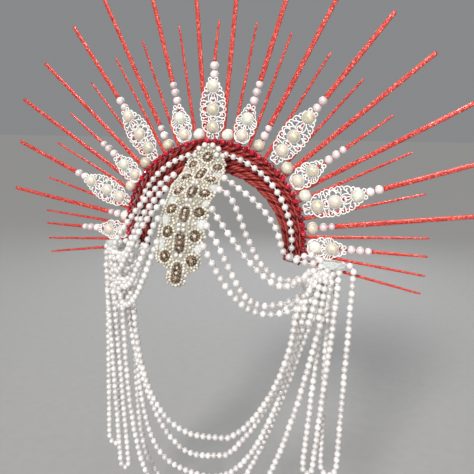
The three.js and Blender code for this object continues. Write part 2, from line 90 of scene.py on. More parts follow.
def glitterFilm():
    # Glitter film on flat plastic rods: each flake is a small mirror of its own tilt, and its colour runs
    # from a painted pale pink glint to painted deep red shade around the coral red. Real flakes are 0.3 mm;
    # drawn at 0.8 mm so that they show.
    material, tree, shader = newMaterial("coralGlitterPaintedGlints",
                                         {"Metallic": 0.25, "IOR": 1.5, "Coat Weight": 0.15})
    place = addNode(tree, "ShaderNodeTexCoord")
    flakes = addNode(tree, "ShaderNodeTexVoronoi", {"Scale": 1 / (0.8 * mm)}, {"Vector": (place, "Object")})
    split = addNode(tree, "ShaderNodeSeparateColor", None, {"Color": (flakes, "Color")})
    # Each flake's colour is picked at random: the pale pink flakes are painted glints and the deep red ones
    # painted shade, around the film's own coral red.
    colour = addNode(tree, "ShaderNodeValToRGB", {"stops": [
        (0.0, "#8A1418"), (0.3, "#BE2C26"), (0.62, "#D63C32"), (0.88, "#E65C4C"), (1.0, "#F8A898")]},
        {"Fac": (split, "Red")})
    rough = addNode(tree, "ShaderNodeMapRange", {"To Min": 0.18, "To Max": 0.6}, {"Value": (split, "Green")})
    bump = addNode(tree, "ShaderNodeBump", {"Strength": 0.7, "Distance": 0.25 * mm},
                   {"Height": (split, "Blue")})
    linkInputs(tree, shader, {"Base Color": (colour, "Color"), "Roughness": (rough, "Result"),
                              "Normal": (bump, "Normal")})
    return material


def satinCord(name, stops, roughness):
    # Twisted rayon satin cord: each ply is a smooth bundle of 0.1 mm fibres with a soft long gleam. Drawn at
    # 1.1 mm, as clumps of fibres, so that they show. The same yarn lies flat and dull in the band's lining.
    material, tree, shader = newMaterial(name, {
        "Roughness": roughness, "IOR": 1.5, "Sheen Weight": 0.25, "Sheen Roughness": 0.35,
        "Sheen Tint": hexToLinear("#F2A090")})
    place = addNode(tree, "ShaderNodeTexCoord")
    fibres = addNode(tree, "ShaderNodeTexNoise", {"Scale": 1 / (1.1 * mm), "Detail": 3.0, "Roughness": 0.6},
                     {"Vector": (place, "Object")})
    # The shade attribute moves the colour along the ramp; on the cords it carries painted shade in the
    # crevices between plies and a painted highlight on their crests.
    shade = addNode(tree, "ShaderNodeAttribute", {"attribute_name": "shade"})
    mix = addNode(tree, "ShaderNodeMath", {"operation": "MULTIPLY_ADD", 1: 0.45},
                  {0: (fibres, "Fac"), 2: (shade, "Fac")})
    colour = addNode(tree, "ShaderNodeValToRGB", {"stops": stops}, {"Fac": (mix, "Value")})
    bump = addNode(tree, "ShaderNodeBump", {"Strength": 0.35, "Distance": 0.2 * mm},
                   {"Height": (fibres, "Fac")})
    linkInputs(tree, shader, {"Base Color": (colour, "Color"), "Normal": (bump, "Normal")})
    return material


def beadMaterial(name, stops, settings, mottle=0.6, grain=2.5):
    # Beads share one recipe: each bead has its own shade, with soft clouds of it in its coat. The clouds are
    # grain millimetres wide, and mottle is how strong they are.
    material, tree, shader = newMaterial(name, settings)
    place = addNode(tree, "ShaderNodeTexCoord")
    clouds = addNode(tree, "ShaderNodeTexNoise", {"Scale": 1 / (grain * mm), "Detail": 2.0},
                     {"Vector": (place, "Object")})
    shade = addNode(tree, "ShaderNodeAttribute", {"attribute_name": "shade"})
    mix = addNode(tree, "ShaderNodeMath", {"operation": "MULTIPLY_ADD", 1: mottle},
                  {0: (clouds, "Fac"), 2: (shade, "Fac")})
    shift = addNode(tree, "ShaderNodeMath", {"operation": "SUBTRACT", 1: mottle / 2}, {0: (mix, "Value")})
    colour = addNode(tree, "ShaderNodeValToRGB", {"stops": stops}, {"Fac": (shift, "Value")})
    fine = addNode(tree, "ShaderNodeTexNoise", {"Scale": 1 / (0.5 * mm), "Detail": 2.0},
                   {"Vector": (place, "Object")})
    bump = addNode(tree, "ShaderNodeBump", {"Strength": 0.06, "Distance": 0.1 * mm},
                   {"Height": (fine, "Fac")})
    linkInputs(tree, shader, {"Base Color": (colour, "Color"), "Normal": (bump, "Normal")})
    return material


def tulle():
    # Stiffened nylon tulle: a hexagonal net of 1.2 mm holes, cool white where it is bare and a painted
    # olive grey shadow where it lies between the beads.
    material, tree, shader = newMaterial("stiffTulle", {"Roughness": 0.5, "Sheen Weight": 0.2, "IOR": 1.53})
    place = addNode(tree, "ShaderNodeTexCoord")
    net = addNode(tree, "ShaderNodeTexVoronoi",
                  {"feature": "DISTANCE_TO_EDGE", "Scale": 1 / (1.2 * mm), "Randomness": 0.25},
                  {"Vector": (place, "Object")})
    bare = addNode(tree, "ShaderNodeValToRGB",
                   {"stops": [(0.0, "#D6D8D6"), (0.16, "#BEC2C0"), (0.4, "#9AA09D")]},
                   {"Fac": (net, "Distance")})
    # Painted shadow: the olive grey that the net takes among the beads.
    paintedShadowNet = addNode(tree, "ShaderNodeValToRGB", {"stops": [(0.0, "#A39F8F"), (0.3, "#827E6E")]},
                      {"Fac": (net, "Distance")})
    shade = addNode(tree, "ShaderNodeAttribute", {"attribute_name": "shade"})
    colour = addNode(tree, "ShaderNodeMix", {"data_type": "RGBA"},
                     {0: (shade, "Fac"), 6: (paintedShadowNet, "Color"), 7: (bare, "Color")})
    bump = addNode(tree, "ShaderNodeBump", {"Strength": 0.8, "Distance": 0.3 * mm, "invert": True},
                   {"Height": (net, "Distance")})
    linkInputs(tree, shader, {"Base Color": (colour, 2), "Normal": (bump, "Normal")})
    return material


pearlCoat = {"Roughness": 0.3, "Metallic": 0.08, "IOR": 1.56, "Coat Weight": 0.7, "Coat Roughness": 0.07}
auroraCoat = dict(pearlCoat)
auroraCoat.update({"Thin Film Thickness": 420.0, "Thin Film IOR": 1.36})
finishes = {
    "glitter": glitterFilm(),
    # The cord ramp's dark end serves as painted shade in the crevices between plies, and its light salmon end
    # as a painted highlight on their crests.
    "cord": satinCord("redSatinCord", [(0.0, "#4E0C11"), (0.45, "#7E1A1C"), (0.8, "#9C322B"),
                                       (1.0, "#B54C3F")], 0.46),
    "lining": satinCord("redCordLining", [(0.0, "#3E0C10"), (0.6, "#6E181A"), (1.0, "#84211F")], 0.85),
    # Acrylic pearl: a nacre lacquer on a round bead, so a hard highlight sits on a soft warm-white body.
    "pearl": beadMaterial("acrylicPearl", [(0.0, "#CFCAC7"), (0.5, "#DFDBD8"), (1.0, "#ECE9E6")], pearlCoat),
    # Acrylic pearl with a pink lilac coat, which picks up the red of the rod beside it.
    "lilac": beadMaterial("lilacPearl", [(0.0, "#D6C6C8"), (0.5, "#E9DCDC"), (1.0, "#F5EEEC")], pearlCoat),
    # Acrylic pearl with an aurora coat: a thin film over cream that clouds green and pink.
    "aurora": beadMaterial("auroraPearl", [(0.0, "#C6BFA8"), (0.3, "#DDD2C2"), (0.5, "#E3CCC2"),
                                           (0.7, "#D3DAC8"), (1.0, "#F2EBE2")], auroraCoat, 1.5, 3.6),
    # Seed pearls of coated glass, 3 mm: cream, and darker in the gaps between them.
    "cream": beadMaterial("creamSeedPearl", [(0.0, "#B2AA9A"), (0.5, "#D1C9BA"),
                                             (1.0, "#E8E2D6")], pearlCoat),
    # Cut glass in deep crimson: bright flat flashes, nearly black-red between them.
    "crimson": beadMaterial("crimsonCutGlass", [(0.0, "#6C0412"), (0.5, "#A80C24"), (1.0, "#CC1C36")],
                            {"Roughness": 0.1, "IOR": 1.52, "Coat Weight": 0.4}),
    # Bronze-lined glass: a half-metal brown bead with warm sparks.
    "bronze": beadMaterial("bronzeLinedGlass", [(0.0, "#3A2F22"), (0.5, "#6C5A45"), (1.0, "#A8927A")],
                           {"Roughness": 0.16, "Metallic": 0.5, "Coat Weight": 0.4}),
    # Lined glass in champagne, cut flat: the sparks at a flower's heart.
    "champagne": beadMaterial("champagneCutGlass", [(0.0, "#A68A76"), (0.5, "#CBB09E"), (1.0, "#F2E2D6")],
                              {"Roughness": 0.12, "Metallic": 0.4, "Coat Weight": 0.6}),
    # White enamel over cast filigree: glossy and thick, with slightly uneven edges.
    "enamel": beadMaterial("whiteEnamel", [(0.0, "#D9D0CE"), (0.5, "#F3F0EB"), (1.0, "#FFFFFF")],
                           {"Roughness": 0.25, "IOR": 1.5, "Coat Weight": 0.5, "Coat Roughness": 0.1},
                           0.8, 3.0),
    # Clear nylon beading thread, milky where it is stretched between beads.
    "thread": beadMaterial("nylonThread", [(0.0, "#C8C4C0"), (0.5, "#E6E3DF"), (1.0, "#F4F2EF")],
                           {"Roughness": 0.4, "IOR": 1.53}),
    "tulle": tulle(),
}
print("materials made:", len(finishes))


# Shapes

class Shape:
    # Gathers parts into one mesh. shade is a number from 0 to 1 that the material reads.
    def __init__(self):
        self.verts, self.faces, self.shades = [], [], []

    def add(self, verts, faces, shade=0.5):
        start = len(self.verts)
        self.verts.extend(verts)
        self.faces.extend(tuple(start + k for k in face) for face in faces)
        self.shades.extend([shade] * len(verts))


def ball(sides, rings):
    # A unit ball with its drill holes dimpled in at the poles.
    verts = [(0, 0, 0.9)]
    for ring in range(1, rings):
        turn = math.pi * ring / rings
        reach = math.sin(turn)
        for side in range(sides):
            around = 2 * math.pi * side / sides
            verts.append((reach * math.cos(around), reach * math.sin(around), math.cos(turn)))
    verts.append((0, 0, -0.9))
    last = len(verts) - 1
    faces = [(0, 1 + s, 1 + (s + 1) % sides) for s in range(sides)]
    for ring in range(rings - 2):
        a = 1 + ring * sides
        b = a + sides
        faces += [(a + s, b + s, b + (s + 1) % sides, a + (s + 1) % sides) for s in range(sides)]
    a = last - sides
    faces += [(last, a + (s + 1) % sides, a + s) for s in range(sides)]
    return verts, faces


def cutBead():
    # A cut glass rondelle: rows of flat facets round a hole.
    verts, faces = [], []
    sides = 9
    outline = ((0.8, 0.3), (0.66, 0.68), (0.24, 0.98), (-0.24, 0.98), (-0.66, 0.68), (-0.8, 0.3))
    for row, (z, radius) in enumerate(outline):
        for side in range(sides):
            turn = 2 * math.pi * (side + 0.5 * (row % 2)) / sides
            verts.append((radius * math.cos(turn), radius * math.sin(turn), z))
    for row in range(len(outline) - 1):
        a, b = row * sides, (row + 1) * sides
        for s in range(sides):
            n = (s + 1) % sides
            if row % 2:
                faces += [(a + s, b + s, b + n), (a + s, b + n, a + n)]
            else:
                faces += [(a + s, b + s, a + n), (a + n, b + s, b + n)]
    faces.append(tuple(range(sides)))
    faces.append(tuple(range(len(verts) - 1, len(verts) - 1 - sides, -1)))
    return verts, faces


balls = {"large": ball(20, 12), "pearl": ball(14, 9), "seed": ball(9, 6), "grain": ball(6, 4)}
rondelle = cutBead()


def addBead(shape, template, centre, radius, along=yAxis, stretch=1.0, shade=None):
    verts, faces = template
    turn = Vector((0, 0, 1)).rotation_difference(along).to_matrix()
    placed = [centre + turn @ Vector((x * radius, y * radius, z * radius * stretch)) for x, y, z in verts]
    shape.add(placed, faces, random.random() if shade is None else shade)


def addTube(shape, points, radius, sides=6, depth=1.0, closed=False, up=yAxis, shade=0.5):
    # A tube along points; depth is its thickness along up, by its width.
    count = len(points)
    verts = []
    for k, point in enumerate(points):
        before = points[k - 1] if k or closed else point
        after = points[(k + 1) % count] if k + 1 < count or closed else point
        ahead = (after - before).normalized()
        across = ahead.cross(up).normalized()
        over = across.cross(ahead)
        size = radius[k] if isinstance(radius, list) else radius
        for side in range(sides):
            turn = 2 * math.pi * side / sides
            verts.append(point + across * (size * math.cos(turn)) + over * (size * depth * math.sin(turn)))
    faces = []
    for k in range(count if closed else count - 1):
        a, b = k * sides, ((k + 1) % count) * sides
        for side in range(sides):
            n = (side + 1) % sides
            faces.append((a + side, a + n, b + n, b + side))
    if not closed:
        faces.append(tuple(range(sides - 1, -1, -1)))
        faces.append(tuple(range((count - 1) * sides, count * sides)))
    shape.add(verts, faces, shade)


def addObject(name, data):
    added = bpy.data.objects.new(name, data)
    bpy.context.scene.collection.objects.link(added)
    return added


def makePiece(name, shape, finish, slot, *nodes, flat=False):
    mesh = bpy.data.meshes.new(name)
    mesh.from_pydata([Vector(v) * mm for v in shape.verts], [], shape.faces)
    mesh.update()
    mesh.attributes.new("shade", "FLOAT", "POINT").data.foreach_set("value", shape.shades)
    mesh.polygons.foreach_set("use_smooth", [not flat] * len(mesh.polygons))
    mesh.materials.append(finishes[finish])
    piece = addObject(name, mesh)
    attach(piece, "root")
    if nodes:
        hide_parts(*nodes)


def closeSheet(shape, rows, columns, mirrored):
    # Faces for the last two grids of points, the front and the back of a thin sheet, and for its hem.
    count = (rows + 1) * (columns + 1)
    first = len(shape.verts) - 2 * count
    for layer in (0, 1):
        for row in range(rows):
            for column in range(columns):
                a = first + layer * count + row * (columns + 1) + column
                face = (a, a + 1, a + columns + 2, a + columns + 1)
                shape.faces.append(face if mirrored == (layer == 0) else face[::-1])
    rim = [row * (columns + 1) for row in range(rows + 1)]
    rim += [rows * (columns + 1) + column for column in range(1, columns + 1)]
    rim += [row * (columns + 1) + columns for row in range(rows - 1, -1, -1)]
    rim += [column for column in range(columns - 1, 0, -1)]
    for a, b in zip(rim, rim[1:] + rim[:1]):
        face = (first + a, first + b, first + b + count, first + a + count)
        shape.faces.append(face[::-1] if mirrored else face)


def lerp(a, b, part):
    return a + (b - a) * part


def cubic(corners, steps=40):
    a, b, c, d = [Vector(p) for p in corners]
    places = [k / steps for k in range(steps + 1)]
    return [a * (1 - t) ** 3 + b * 3 * t * (1 - t) ** 2 + c * 3 * t * t * (1 - t) + d * t ** 3
            for t in places]


def smoothed(points, steps=4, closed=False):
    # A rounder line through the same points.
    count = len(points)
    line = []
    for k in range(count if closed else count - 1):
        if closed:
            a, b, c, d = [Vector(points[(k + n) % count]) for n in (-1, 0, 1, 2)]
        else:
            a, b, c, d = [Vector(points[min(max(k + n, 0), count - 1)]) for n in (-1, 0, 1, 2)]
        for step in range(steps):
            t = step / steps
            line.append(0.5 * (2 * b + (c - a) * t + (2 * a - 5 * b + 4 * c - d) * t ** 2
                               + (3 * b - a - 3 * c + d) * t ** 3))
    if not closed:
        line.append(Vector(points[-1]))
    return line


def alongPath(points, pitch, start=0.0):
    # Places a pitch apart along a line of points, each with its direction.
    places = []
    nextAt, travelled = start, 0.0
    for a, b in zip(points, points[1:]):
        step = (b - a).length
        while step > 0 and nextAt <= travelled + step:
            places.append((a.lerp(b, (nextAt - travelled) / step), (b - a) / step))
            nextAt += pitch
        travelled += step
    return places


# Camera, light and floor

stage = {
    "azimuth": 19, "elevation": 12, "roll": 1, "place": (191.8, -480.1, 41.6),
    "lens": 37.97, "sensorWidth": 36,
    "floorDepth": -432, "floorReach": 40000, "floorGrain": 60.0,  # grains in a metre
    "floorColours": [(0.0, "#A09F9D"), (1.0, "#A7A6A4")], "worldColour": "#D9DADC", "worldStrength": 0.36,
}
# Kind, place and aim in metres, size in metres, power in watts, colour. The sun has its angle in place of its
# size, and its watts are for a square metre.
lights = {
    "key": ("SUN", (-0.2, -1.2, 0.75), (0, 0, -0.05), 0.24, 2.7, "#FFFFFF"),
    "fill": ("AREA", (0.8, -1.8, 0.35), (0, 0, -0.15), 1.1, 14, "#FFF9F4"),
    "top": ("AREA", (0.0, -0.1, 1.3), (0, 0, -0.1), 0.5, 4, "#FFFFFF"),
    "back": ("AREA", (-0.3, 1.3, 0.6), (0, 0, -0.1), 1.0, 8, "#F4F7FF"),
}


def makeStage():
    a, e, r = [math.radians(stage[k]) for k in ("azimuth", "elevation", "roll")]
    back = Vector((math.sin(a) * math.cos(e), -math.cos(a) * math.cos(e), math.sin(e)))
    level = Vector((math.cos(a), math.sin(a), 0))
    upright = back.cross(level)
    right = level * math.cos(r) + upright * math.sin(r)
    top = upright * math.cos(r) - level * math.sin(r)
    data = bpy.data.cameras.new("camera")
    data.sensor_width = stage["sensorWidth"]
    data.lens = stage["lens"]
    data.clip_start, data.clip_end = 0.01, 30
    camera = addObject("camera", data)
    matrix = camera.matrix_world.copy()
    for column, axis in enumerate((right, top, back)):
        for row in range(3):
            matrix[row][column] = axis[row]
    matrix.translation = Vector(stage["place"]) * mm
    camera.matrix_world = matrix
    bpy.context.scene.camera = camera

    for name, (kind, place, aim, size, power, colour) in lights.items():
        light = bpy.data.lights.new(name, kind)
        setattr(light, "angle" if kind == "SUN" else "size", size)
        light.energy = power
        light.color = hexToLinear(colour)[:3]
        holder = addObject(name, light)
        holder.location = place
        holder.rotation_mode = "QUATERNION"
        holder.rotation_quaternion = (Vector(aim) - Vector(place)).to_track_quat("-Z", "Y")

    floorMesh = bpy.data.meshes.new("floor")
    reach, depth = stage["floorReach"] * mm, stage["floorDepth"] * mm
    corners = [(x * reach, y * reach, depth) for x, y in ((-1, -1), (1, -1), (1, 1), (-1, 1))]
    floorMesh.from_pydata(corners, [], [(0, 1, 2, 3)])
    # Matt paper: a plain pale grey with a faint grain.
    floorMaterial, tree, shader = newMaterial("palePaperFloor", {"Roughness": 0.9})
    place = addNode(tree, "ShaderNodeTexCoord")
    grain = addNode(tree, "ShaderNodeTexNoise", {"Scale": stage["floorGrain"], "Detail": 2.0},
                    {"Vector": (place, "Object")})
    colour = addNode(tree, "ShaderNodeValToRGB", {"stops": stage["floorColours"]}, {"Fac": (grain, "Fac")})
    linkInputs(tree, shader, {"Base Color": (colour, "Color")})
    floorMesh.materials.append(floorMaterial)
    addObject("floor", floorMesh)

    world = bpy.data.worlds.new("paleStudio")
    world.use_nodes = True
    background = world.node_tree.nodes["Background"]
    background.inputs["Color"].default_value = hexToLinear(stage["worldColour"])
    background.inputs["Strength"].default_value = stage["worldStrength"]
    bpy.context.scene.world = world
    bpy.context.scene.view_settings.view_transform = "Standard"  # true reds and whites


makeStage()
print("camera, light and floor made")


# Spikes, their pearls and their filigree leaves

fanCentreZ = -67


def onFan(angle, radius, y):
    turn = math.radians(angle)
    return Vector((radius * math.sin(turn), y, fanCentreZ + radius * math.cos(turn)))


spikes = {
    "footRadius": 96.8, "baseRadius": 94.5, "longTip": 270, "shortTip": 213,
    "longSize": (5.0, 4.0, 2.2), "shortSize": (3.8, 2.0, 1.9),  # width at the foot and the tip, thickness
    "tipThinning": 0.8, "sides": 14, "ringSpacing": 1.9, "squareness": (0.8, 0.6),
    "grain": 0.14, "grainScale": 1.7, "grit": 0.04,  # lumps of the glitter coat, by the rod's size
    "centreBladeLean": 7, "centreShift": -4, "rodRadius": 1.3, "bladeSink": 0.4, "rodOverlap": 1,
    "basePearl": 6.3, "basePearlY": -1.6, "pearlStretch": 0.96,
}
# For each spike from the middle out: long or short, its trim, and on the wearer's left and right the
# angle of its foot and the angle it points at. They were set one by one, so no two sides match.
spikeRows = [
    ("short", "largeLeaf", (0, 0), (0, 0)),
    ("long", None, (5.4, 5.4), (4.9, 4.6)),
    ("short", None, (11.6, 11.6), (11.4, 9.4)),
    ("long", "smallLeaf", (16.6, 17.6), (17.4, 14.8)),
    ("short", None, (22.1, 20.3), (23.4, 20.8)),
    ("long", "pearls", (27.1, 27.5), (29.2, 26.2)),
    ("short", None, (33.4, 31.4), (33.6, 30)),
    ("long", "largeLeaf", (38.8, 38), (40.2, 35.4)),
    ("short", None, (44.6, 41.2), (45.2, 40)),
    ("long", None, (48.5, 49.3), (49.8, 48)),
    ("short", "smallLeaf", (55.4, 53.2), (56.8, 51.8)),
    ("long", None, (60, 60.6), (61.6, 58)),
    ("short", None, (65, 63.6), (66.2, 62.8)),
    ("long", "largeLeaf", (70.3, 71.6), (73.2, 67)),
    ("short", None, (75.4, 74.4), (77.4, 74.6)),
    ("long", "pearls", (81.2, 81.3), (82.6, 81.2)),
    ("short", None, (86, 85.7), (87.6, 85.6)),
    ("short", "smallLeaf", (91.4, 89.8), (91.6, 90)),
    ("short", None, (95.2, 95.8), (96.8, 94.6)),
    ("short", None, (100.2, 100.4), (101.2, 99)),
]
tips = {11: 274, 13: 262, 15: 259}
joinedPairs = {1: (8.4, 105), 8: (46.4, 107), 11: (63.5, 107.5)}  # with the base pearl's angle and radius
threadedPearls = {
    "largeLeaf": [(166.6, 4.2), (174.9, 4.3)],
    "smallLeaf": [(143.6, 4.2), (151.9, 4.2), (159.5, 3.5)],
    "pearls": [(106, 6.3), (116.9, 4.3), (125, 3.4)],
    None: [],
}


class SpikeLine:
    # The line that a spike stands on: its foot, and the direction that it points in.
    def __init__(self, foot, points, side):
        points = math.radians(points) * side
        self.foot = onFan(foot * side, spikes["footRadius"], 0)
        self.along = Vector((math.sin(points), 0, math.cos(points)))
        self.across = Vector((math.cos(points), 0, -math.sin(points)))

    def at(self, x, y, radius):
        return self.foot + self.across * x + yAxis * y + self.along * (radius - spikes["footRadius"])


def addBlade(shape, line, low, high, size, lean=0):
    # A flat oval rod with a rounded tip and a coat of coarse glitter.
    footWidth, tipWidth, thickness = size
    sides = spikes["sides"]
    tipLength = tipWidth / 2
    stations, radius = [], low
    while radius < high - tipLength:
        stations.append((radius, 1.0))
        radius += spikes["ringSpacing"]
    stations += [(high - tipLength * (1 - math.sin(t)), math.cos(t)) for t in (0.0, 0.6, 1.1, 1.4)]
    squareX, squareY = spikes["squareness"]
    verts, faces = [], []
    for radius, closing in stations:
        part = (radius - low) / (high - low)
        width = lerp(footWidth, tipWidth, part) / 2 * closing
        half = thickness * lerp(1, spikes["tipThinning"], part) / 2 * closing
        sideways = math.tan(math.radians(lean)) * (radius - low)
        for side in range(sides):
            turn = 2 * math.pi * side / sides
            c, s = math.cos(turn), math.sin(turn)
            x = width * math.copysign(abs(c) ** squareX, c)
            y = half * math.copysign(abs(s) ** squareY, s)
            lump = spikes["grain"] * noise.noise(Vector((x, y * 2, radius)) * spikes["grainScale"])
            coat = 1 + lump + random.uniform(-spikes["grit"], spikes["grit"])
            verts.append(line.at(x * coat + sideways, y * coat, radius))
    for k in range(len(stations) - 1):
        a, b = k * sides, (k + 1) * sides
        for side in range(sides):
            n = (side + 1) % sides
            faces.append((a + side, b + side, b + n, a + n))
    faces.append(tuple(range(sides)))
    faces.append(tuple(range(len(verts) - 1, len(verts) - 1 - sides, -1)))
    shape.add(verts, faces)


# Each leaf's lace as lines of places (across, radius), drawn on one side and mirrored to the other. The lines
# in the middle are closed rings. A dome is its radius from the fan's centre and its size.
leafShapes = {
    "largeLeaf": {
        "domes": [(115.6, 6.1), (133, 6.1), (155.4, 6.1)],
        "lace": [
            [(1.4, 160.8), (2.2, 162.9), (4.0, 163.3), (5.0, 161.7), (4.0, 160.0)],
            [(6.3, 158.6), (7.0, 156.6), (7.0, 154.6)],
            [(6.2, 153.4), (7.6, 154.4), (9.0, 153.3), (8.9, 151.6), (7.3, 151.0), (6.2, 151.8)],
            [(5.2, 149.8), (7.6, 150.6), (10.2, 149.7), (11.5, 147.4), (11.0, 145.0), (9.2, 144.3),
             (8.0, 145.6), (8.7, 147.2), (9.8, 146.9)],
            [(3.6, 147.2), (5.6, 146.8), (7.9, 145.6)],
            [(9.4, 144.2), (11.4, 144.1), (12.8, 142.8), (12.2, 141.2), (10.4, 141.3), (9.6, 142.6)],
            [(4.6, 139.6), (6.8, 140.8), (9.6, 141.2), (12.2, 140.8), (13.4, 138.8), (12.8, 136.7),
             (11.0, 136.0), (9.6, 137.0), (10.0, 138.6), (11.3, 138.5)],
            [(10.6, 136.0), (12.6, 134.9), (14.0, 133), (12.6, 131.1), (10.6, 130.0)],
            [(7.0, 136.1), (9.4, 135.6), (11.7, 133), (9.4, 130.4), (7.0, 129.9)],
            [(4.6, 126.4), (6.8, 125.2), (9.6, 124.8), (12.2, 125.2), (13.4, 127.2), (12.8, 129.3),
             (11.0, 130.0), (9.6, 129.0), (10.0, 127.4), (11.3, 127.5)],
            [(9.4, 121.8), (11.4, 121.9), (12.6, 123.0), (12.0, 124.6), (10.3, 124.5), (9.6, 123.2)],
            [(3.6, 121.6), (5.8, 121.4), (8.2, 121.8), (10.4, 121.6), (11.6, 120.0), (10.6, 118.8)],
            [(7.2, 119.2), (9.2, 120.0), (11.2, 118.6), (11.4, 116.2), (9.9, 114.6), (8.3, 115.3),
             (8.7, 117.2)],
            [(10.2, 114.6), (8.9, 112.6), (7.0, 111.2), (5.2, 109.9)],
            [(2.6, 109.0), (4.6, 109.9), (6.4, 108.9), (6.2, 107.0), (4.5, 106.2), (3.0, 107.2)],
            [(3.4, 106.4), (4.9, 105.0), (4.7, 102.9), (3.1, 101.9), (1.4, 102.7), (0.9, 104.4)],
            [(2.0, 149.3), (3.9, 147.2), (4.9, 144.2), (4.4, 141.4), (3.0, 139.4)],
            [(0.2, 139.6), (1.9, 140.4), (2.8, 142.3), (1.8, 144.2), (0.6, 142.4)],
            [(2.4, 126.6), (4.2, 125.0), (4.6, 122.9), (3.2, 121.2)],
            [(0.2, 126.4), (1.8, 125.8), (2.5, 124.2), (1.5, 122.8), (0.5, 124.0)],
            [(6.5, 139.6), (8.2, 138.6), (8.0, 136.6), (6.6, 136.0)],
            [(6.5, 126.4), (8.2, 127.4), (8.0, 129.4), (6.6, 130.0)],
        ],
        "middle": [
            [(-1.5, 146.0), (0, 143.6), (1.5, 146.0), (0, 149.0)],
            [(-1.1, 106.4), (0, 104.4), (1.1, 106.4), (0, 108.8)],
            [(-2.3, 102.4), (0, 101.9), (2.3, 102.4), (0, 103.0)],
        ],
    },
    "smallLeaf": {
        "domes": [(108.4, 5.9), (125.4, 5.9)],
        "lace": [
            [(0.5, 135.2), (1.1, 137.9), (2.7, 138.9), (4.1, 137.8), (3.9, 136.0), (2.6, 135.2),
             (1.7, 136.4)],
            [(1.2, 134.6), (3.4, 135.0), (5.4, 134.4), (6.3, 132.6), (5.9, 130.6)],
            [(2.6, 131.8), (3.9, 132.8), (5.0, 131.6)],
            [(6.0, 130.8), (7.5, 129.2), (7.6, 127.0)],
            [(6.4, 127.2), (8.6, 126.4), (10.2, 124.4), (10.7, 121.8), (10.1, 119.2), (8.2, 117.6)],
            [(6.6, 124.4), (8.2, 123.3), (10.3, 123.6)],
            [(6.2, 122.4), (8.0, 121.2), (10.3, 121.0)],
            [(5.2, 120.6), (7.0, 119.4), (9.4, 118.6)],
            [(3.0, 119.2), (4.6, 117.3), (6.4, 116.9), (8.2, 117.5)],
            [(6.0, 118.8), (5.9, 117.2), (6.8, 116.0)],
            [(7.6, 117.4), (9.6, 117.0), (10.6, 115.2), (10.2, 113.0), (8.8, 111.2), (7.2, 110.4)],
            [(6.8, 116.4), (7.4, 114.8), (7.0, 113.0), (6.2, 112.2)],
            [(7.2, 113.9), (8.6, 113.4), (10.0, 113.6)],
            [(1.2, 118.9), (0.9, 117.1), (2.6, 115.2), (3.9, 116.4)],
            [(7.0, 111.2), (8.1, 108.6), (7.7, 105.6), (6.1, 103.0), (3.6, 101.6), (1.0, 101.4)],
            [(7.3, 106.6), (6.2, 104.6), (4.4, 103.2)],
        ],
        "middle": [
            [(-1.0, 116.0), (0, 114.9), (1.0, 116.0), (0, 118.2)],
            [(-1.4, 102.0), (0, 101.2), (1.4, 102.0), (0, 102.8)],
        ],
    },
}
leaf = {
    "middleY": -3.3, "wire": 0.6, "wireSides": 7, "depth": 1.3, "middleWire": 0.85, "domeHeight": 0.76,
    "cupWall": 0.35, "cupFront": 0.5, "cupBack": 0.6, "postRadius": 1.5, "postEndY": -0.4,
    "rimGrain": 0.42, "rimPitch": 2.2, "rimReach": 0.25, "rimLift": 0.6,
}


def addDome(domes, line, radius, size):
    # A half pearl with a closed back.
    rings, sides = 8, 26
    verts = []
    for ring in range(rings):
        turn = ring / rings * math.pi / 2
        for side in range(sides):
            around = 2 * math.pi * side / sides
            verts.append(line.at(size * math.cos(turn) * math.cos(around),
                                 leaf["middleY"] - size * leaf["domeHeight"] * math.sin(turn),
                                 radius + size * math.cos(turn) * math.sin(around)))
    verts.append(line.at(0, leaf["middleY"] - size * leaf["domeHeight"], radius))
    verts.append(line.at(0, leaf["middleY"], radius))
    faces = []
    for ring in range(rings - 1):
        a, b = ring * sides, (ring + 1) * sides
        faces += [(a + s, a + (s + 1) % sides, b + (s + 1) % sides, b + s) for s in range(sides)]
    top = rings * sides
    faces += [(top - sides + s, top - sides + (s + 1) % sides, top) for s in range(sides)]
    faces += [((s + 1) % sides, s, top + 1) for s in range(sides)]
    domes.add(verts, faces, random.random())


def addLeaf(lace, domes, line, kind, shift):
    form = leafShapes[kind]
    middleY, sides = leaf["middleY"], leaf["wireSides"]
    for places in form["lace"]:
        flat = smoothed([(x, 0, r) for x, r in places], 4)
        for side in (1, -1):
            placed = [line.at(side * p.x, middleY, p.z + shift) for p in flat]
            addTube(lace, placed, leaf["wire"] * random.uniform(0.92, 1.1), sides, leaf["depth"],
                    shade=random.uniform(0.35, 0.65))
    for places in form["middle"]:
        flat = smoothed([(x, 0, r) for x, r in places], 4, True)
        placed = [line.at(p.x, middleY, p.z + shift) for p in flat]
        addTube(lace, placed, leaf["wire"] * leaf["middleWire"], sides, leaf["depth"], True)
    # Each dome sits in a cup with a grained rim, and a post holds it to the rod.
    for radius, size in form["domes"]:
        centre = radius + shift
        addDome(domes, line, centre, size)
        cup = [line.at(0, y, centre) for y in (middleY - leaf["cupFront"], middleY + leaf["cupBack"])]
        addTube(lace, cup, size + leaf["cupWall"], 28, up=line.along)
        addTube(lace, [cup[1], line.at(0, leaf["postEndY"], centre)], leaf["postRadius"], 8, up=line.along)
        rim = size + leaf["rimReach"]
        rimY = middleY - leaf["rimLift"]
        grains = round(2 * math.pi * rim / (leaf["rimGrain"] * leaf["rimPitch"]))
        for k in range(grains):
            around = 2 * math.pi * k / grains
            place = line.at(rim * math.cos(around), rimY, centre + rim * math.sin(around))
            addBead(lace, balls["grain"], place, leaf["rimGrain"], shade=0.6)


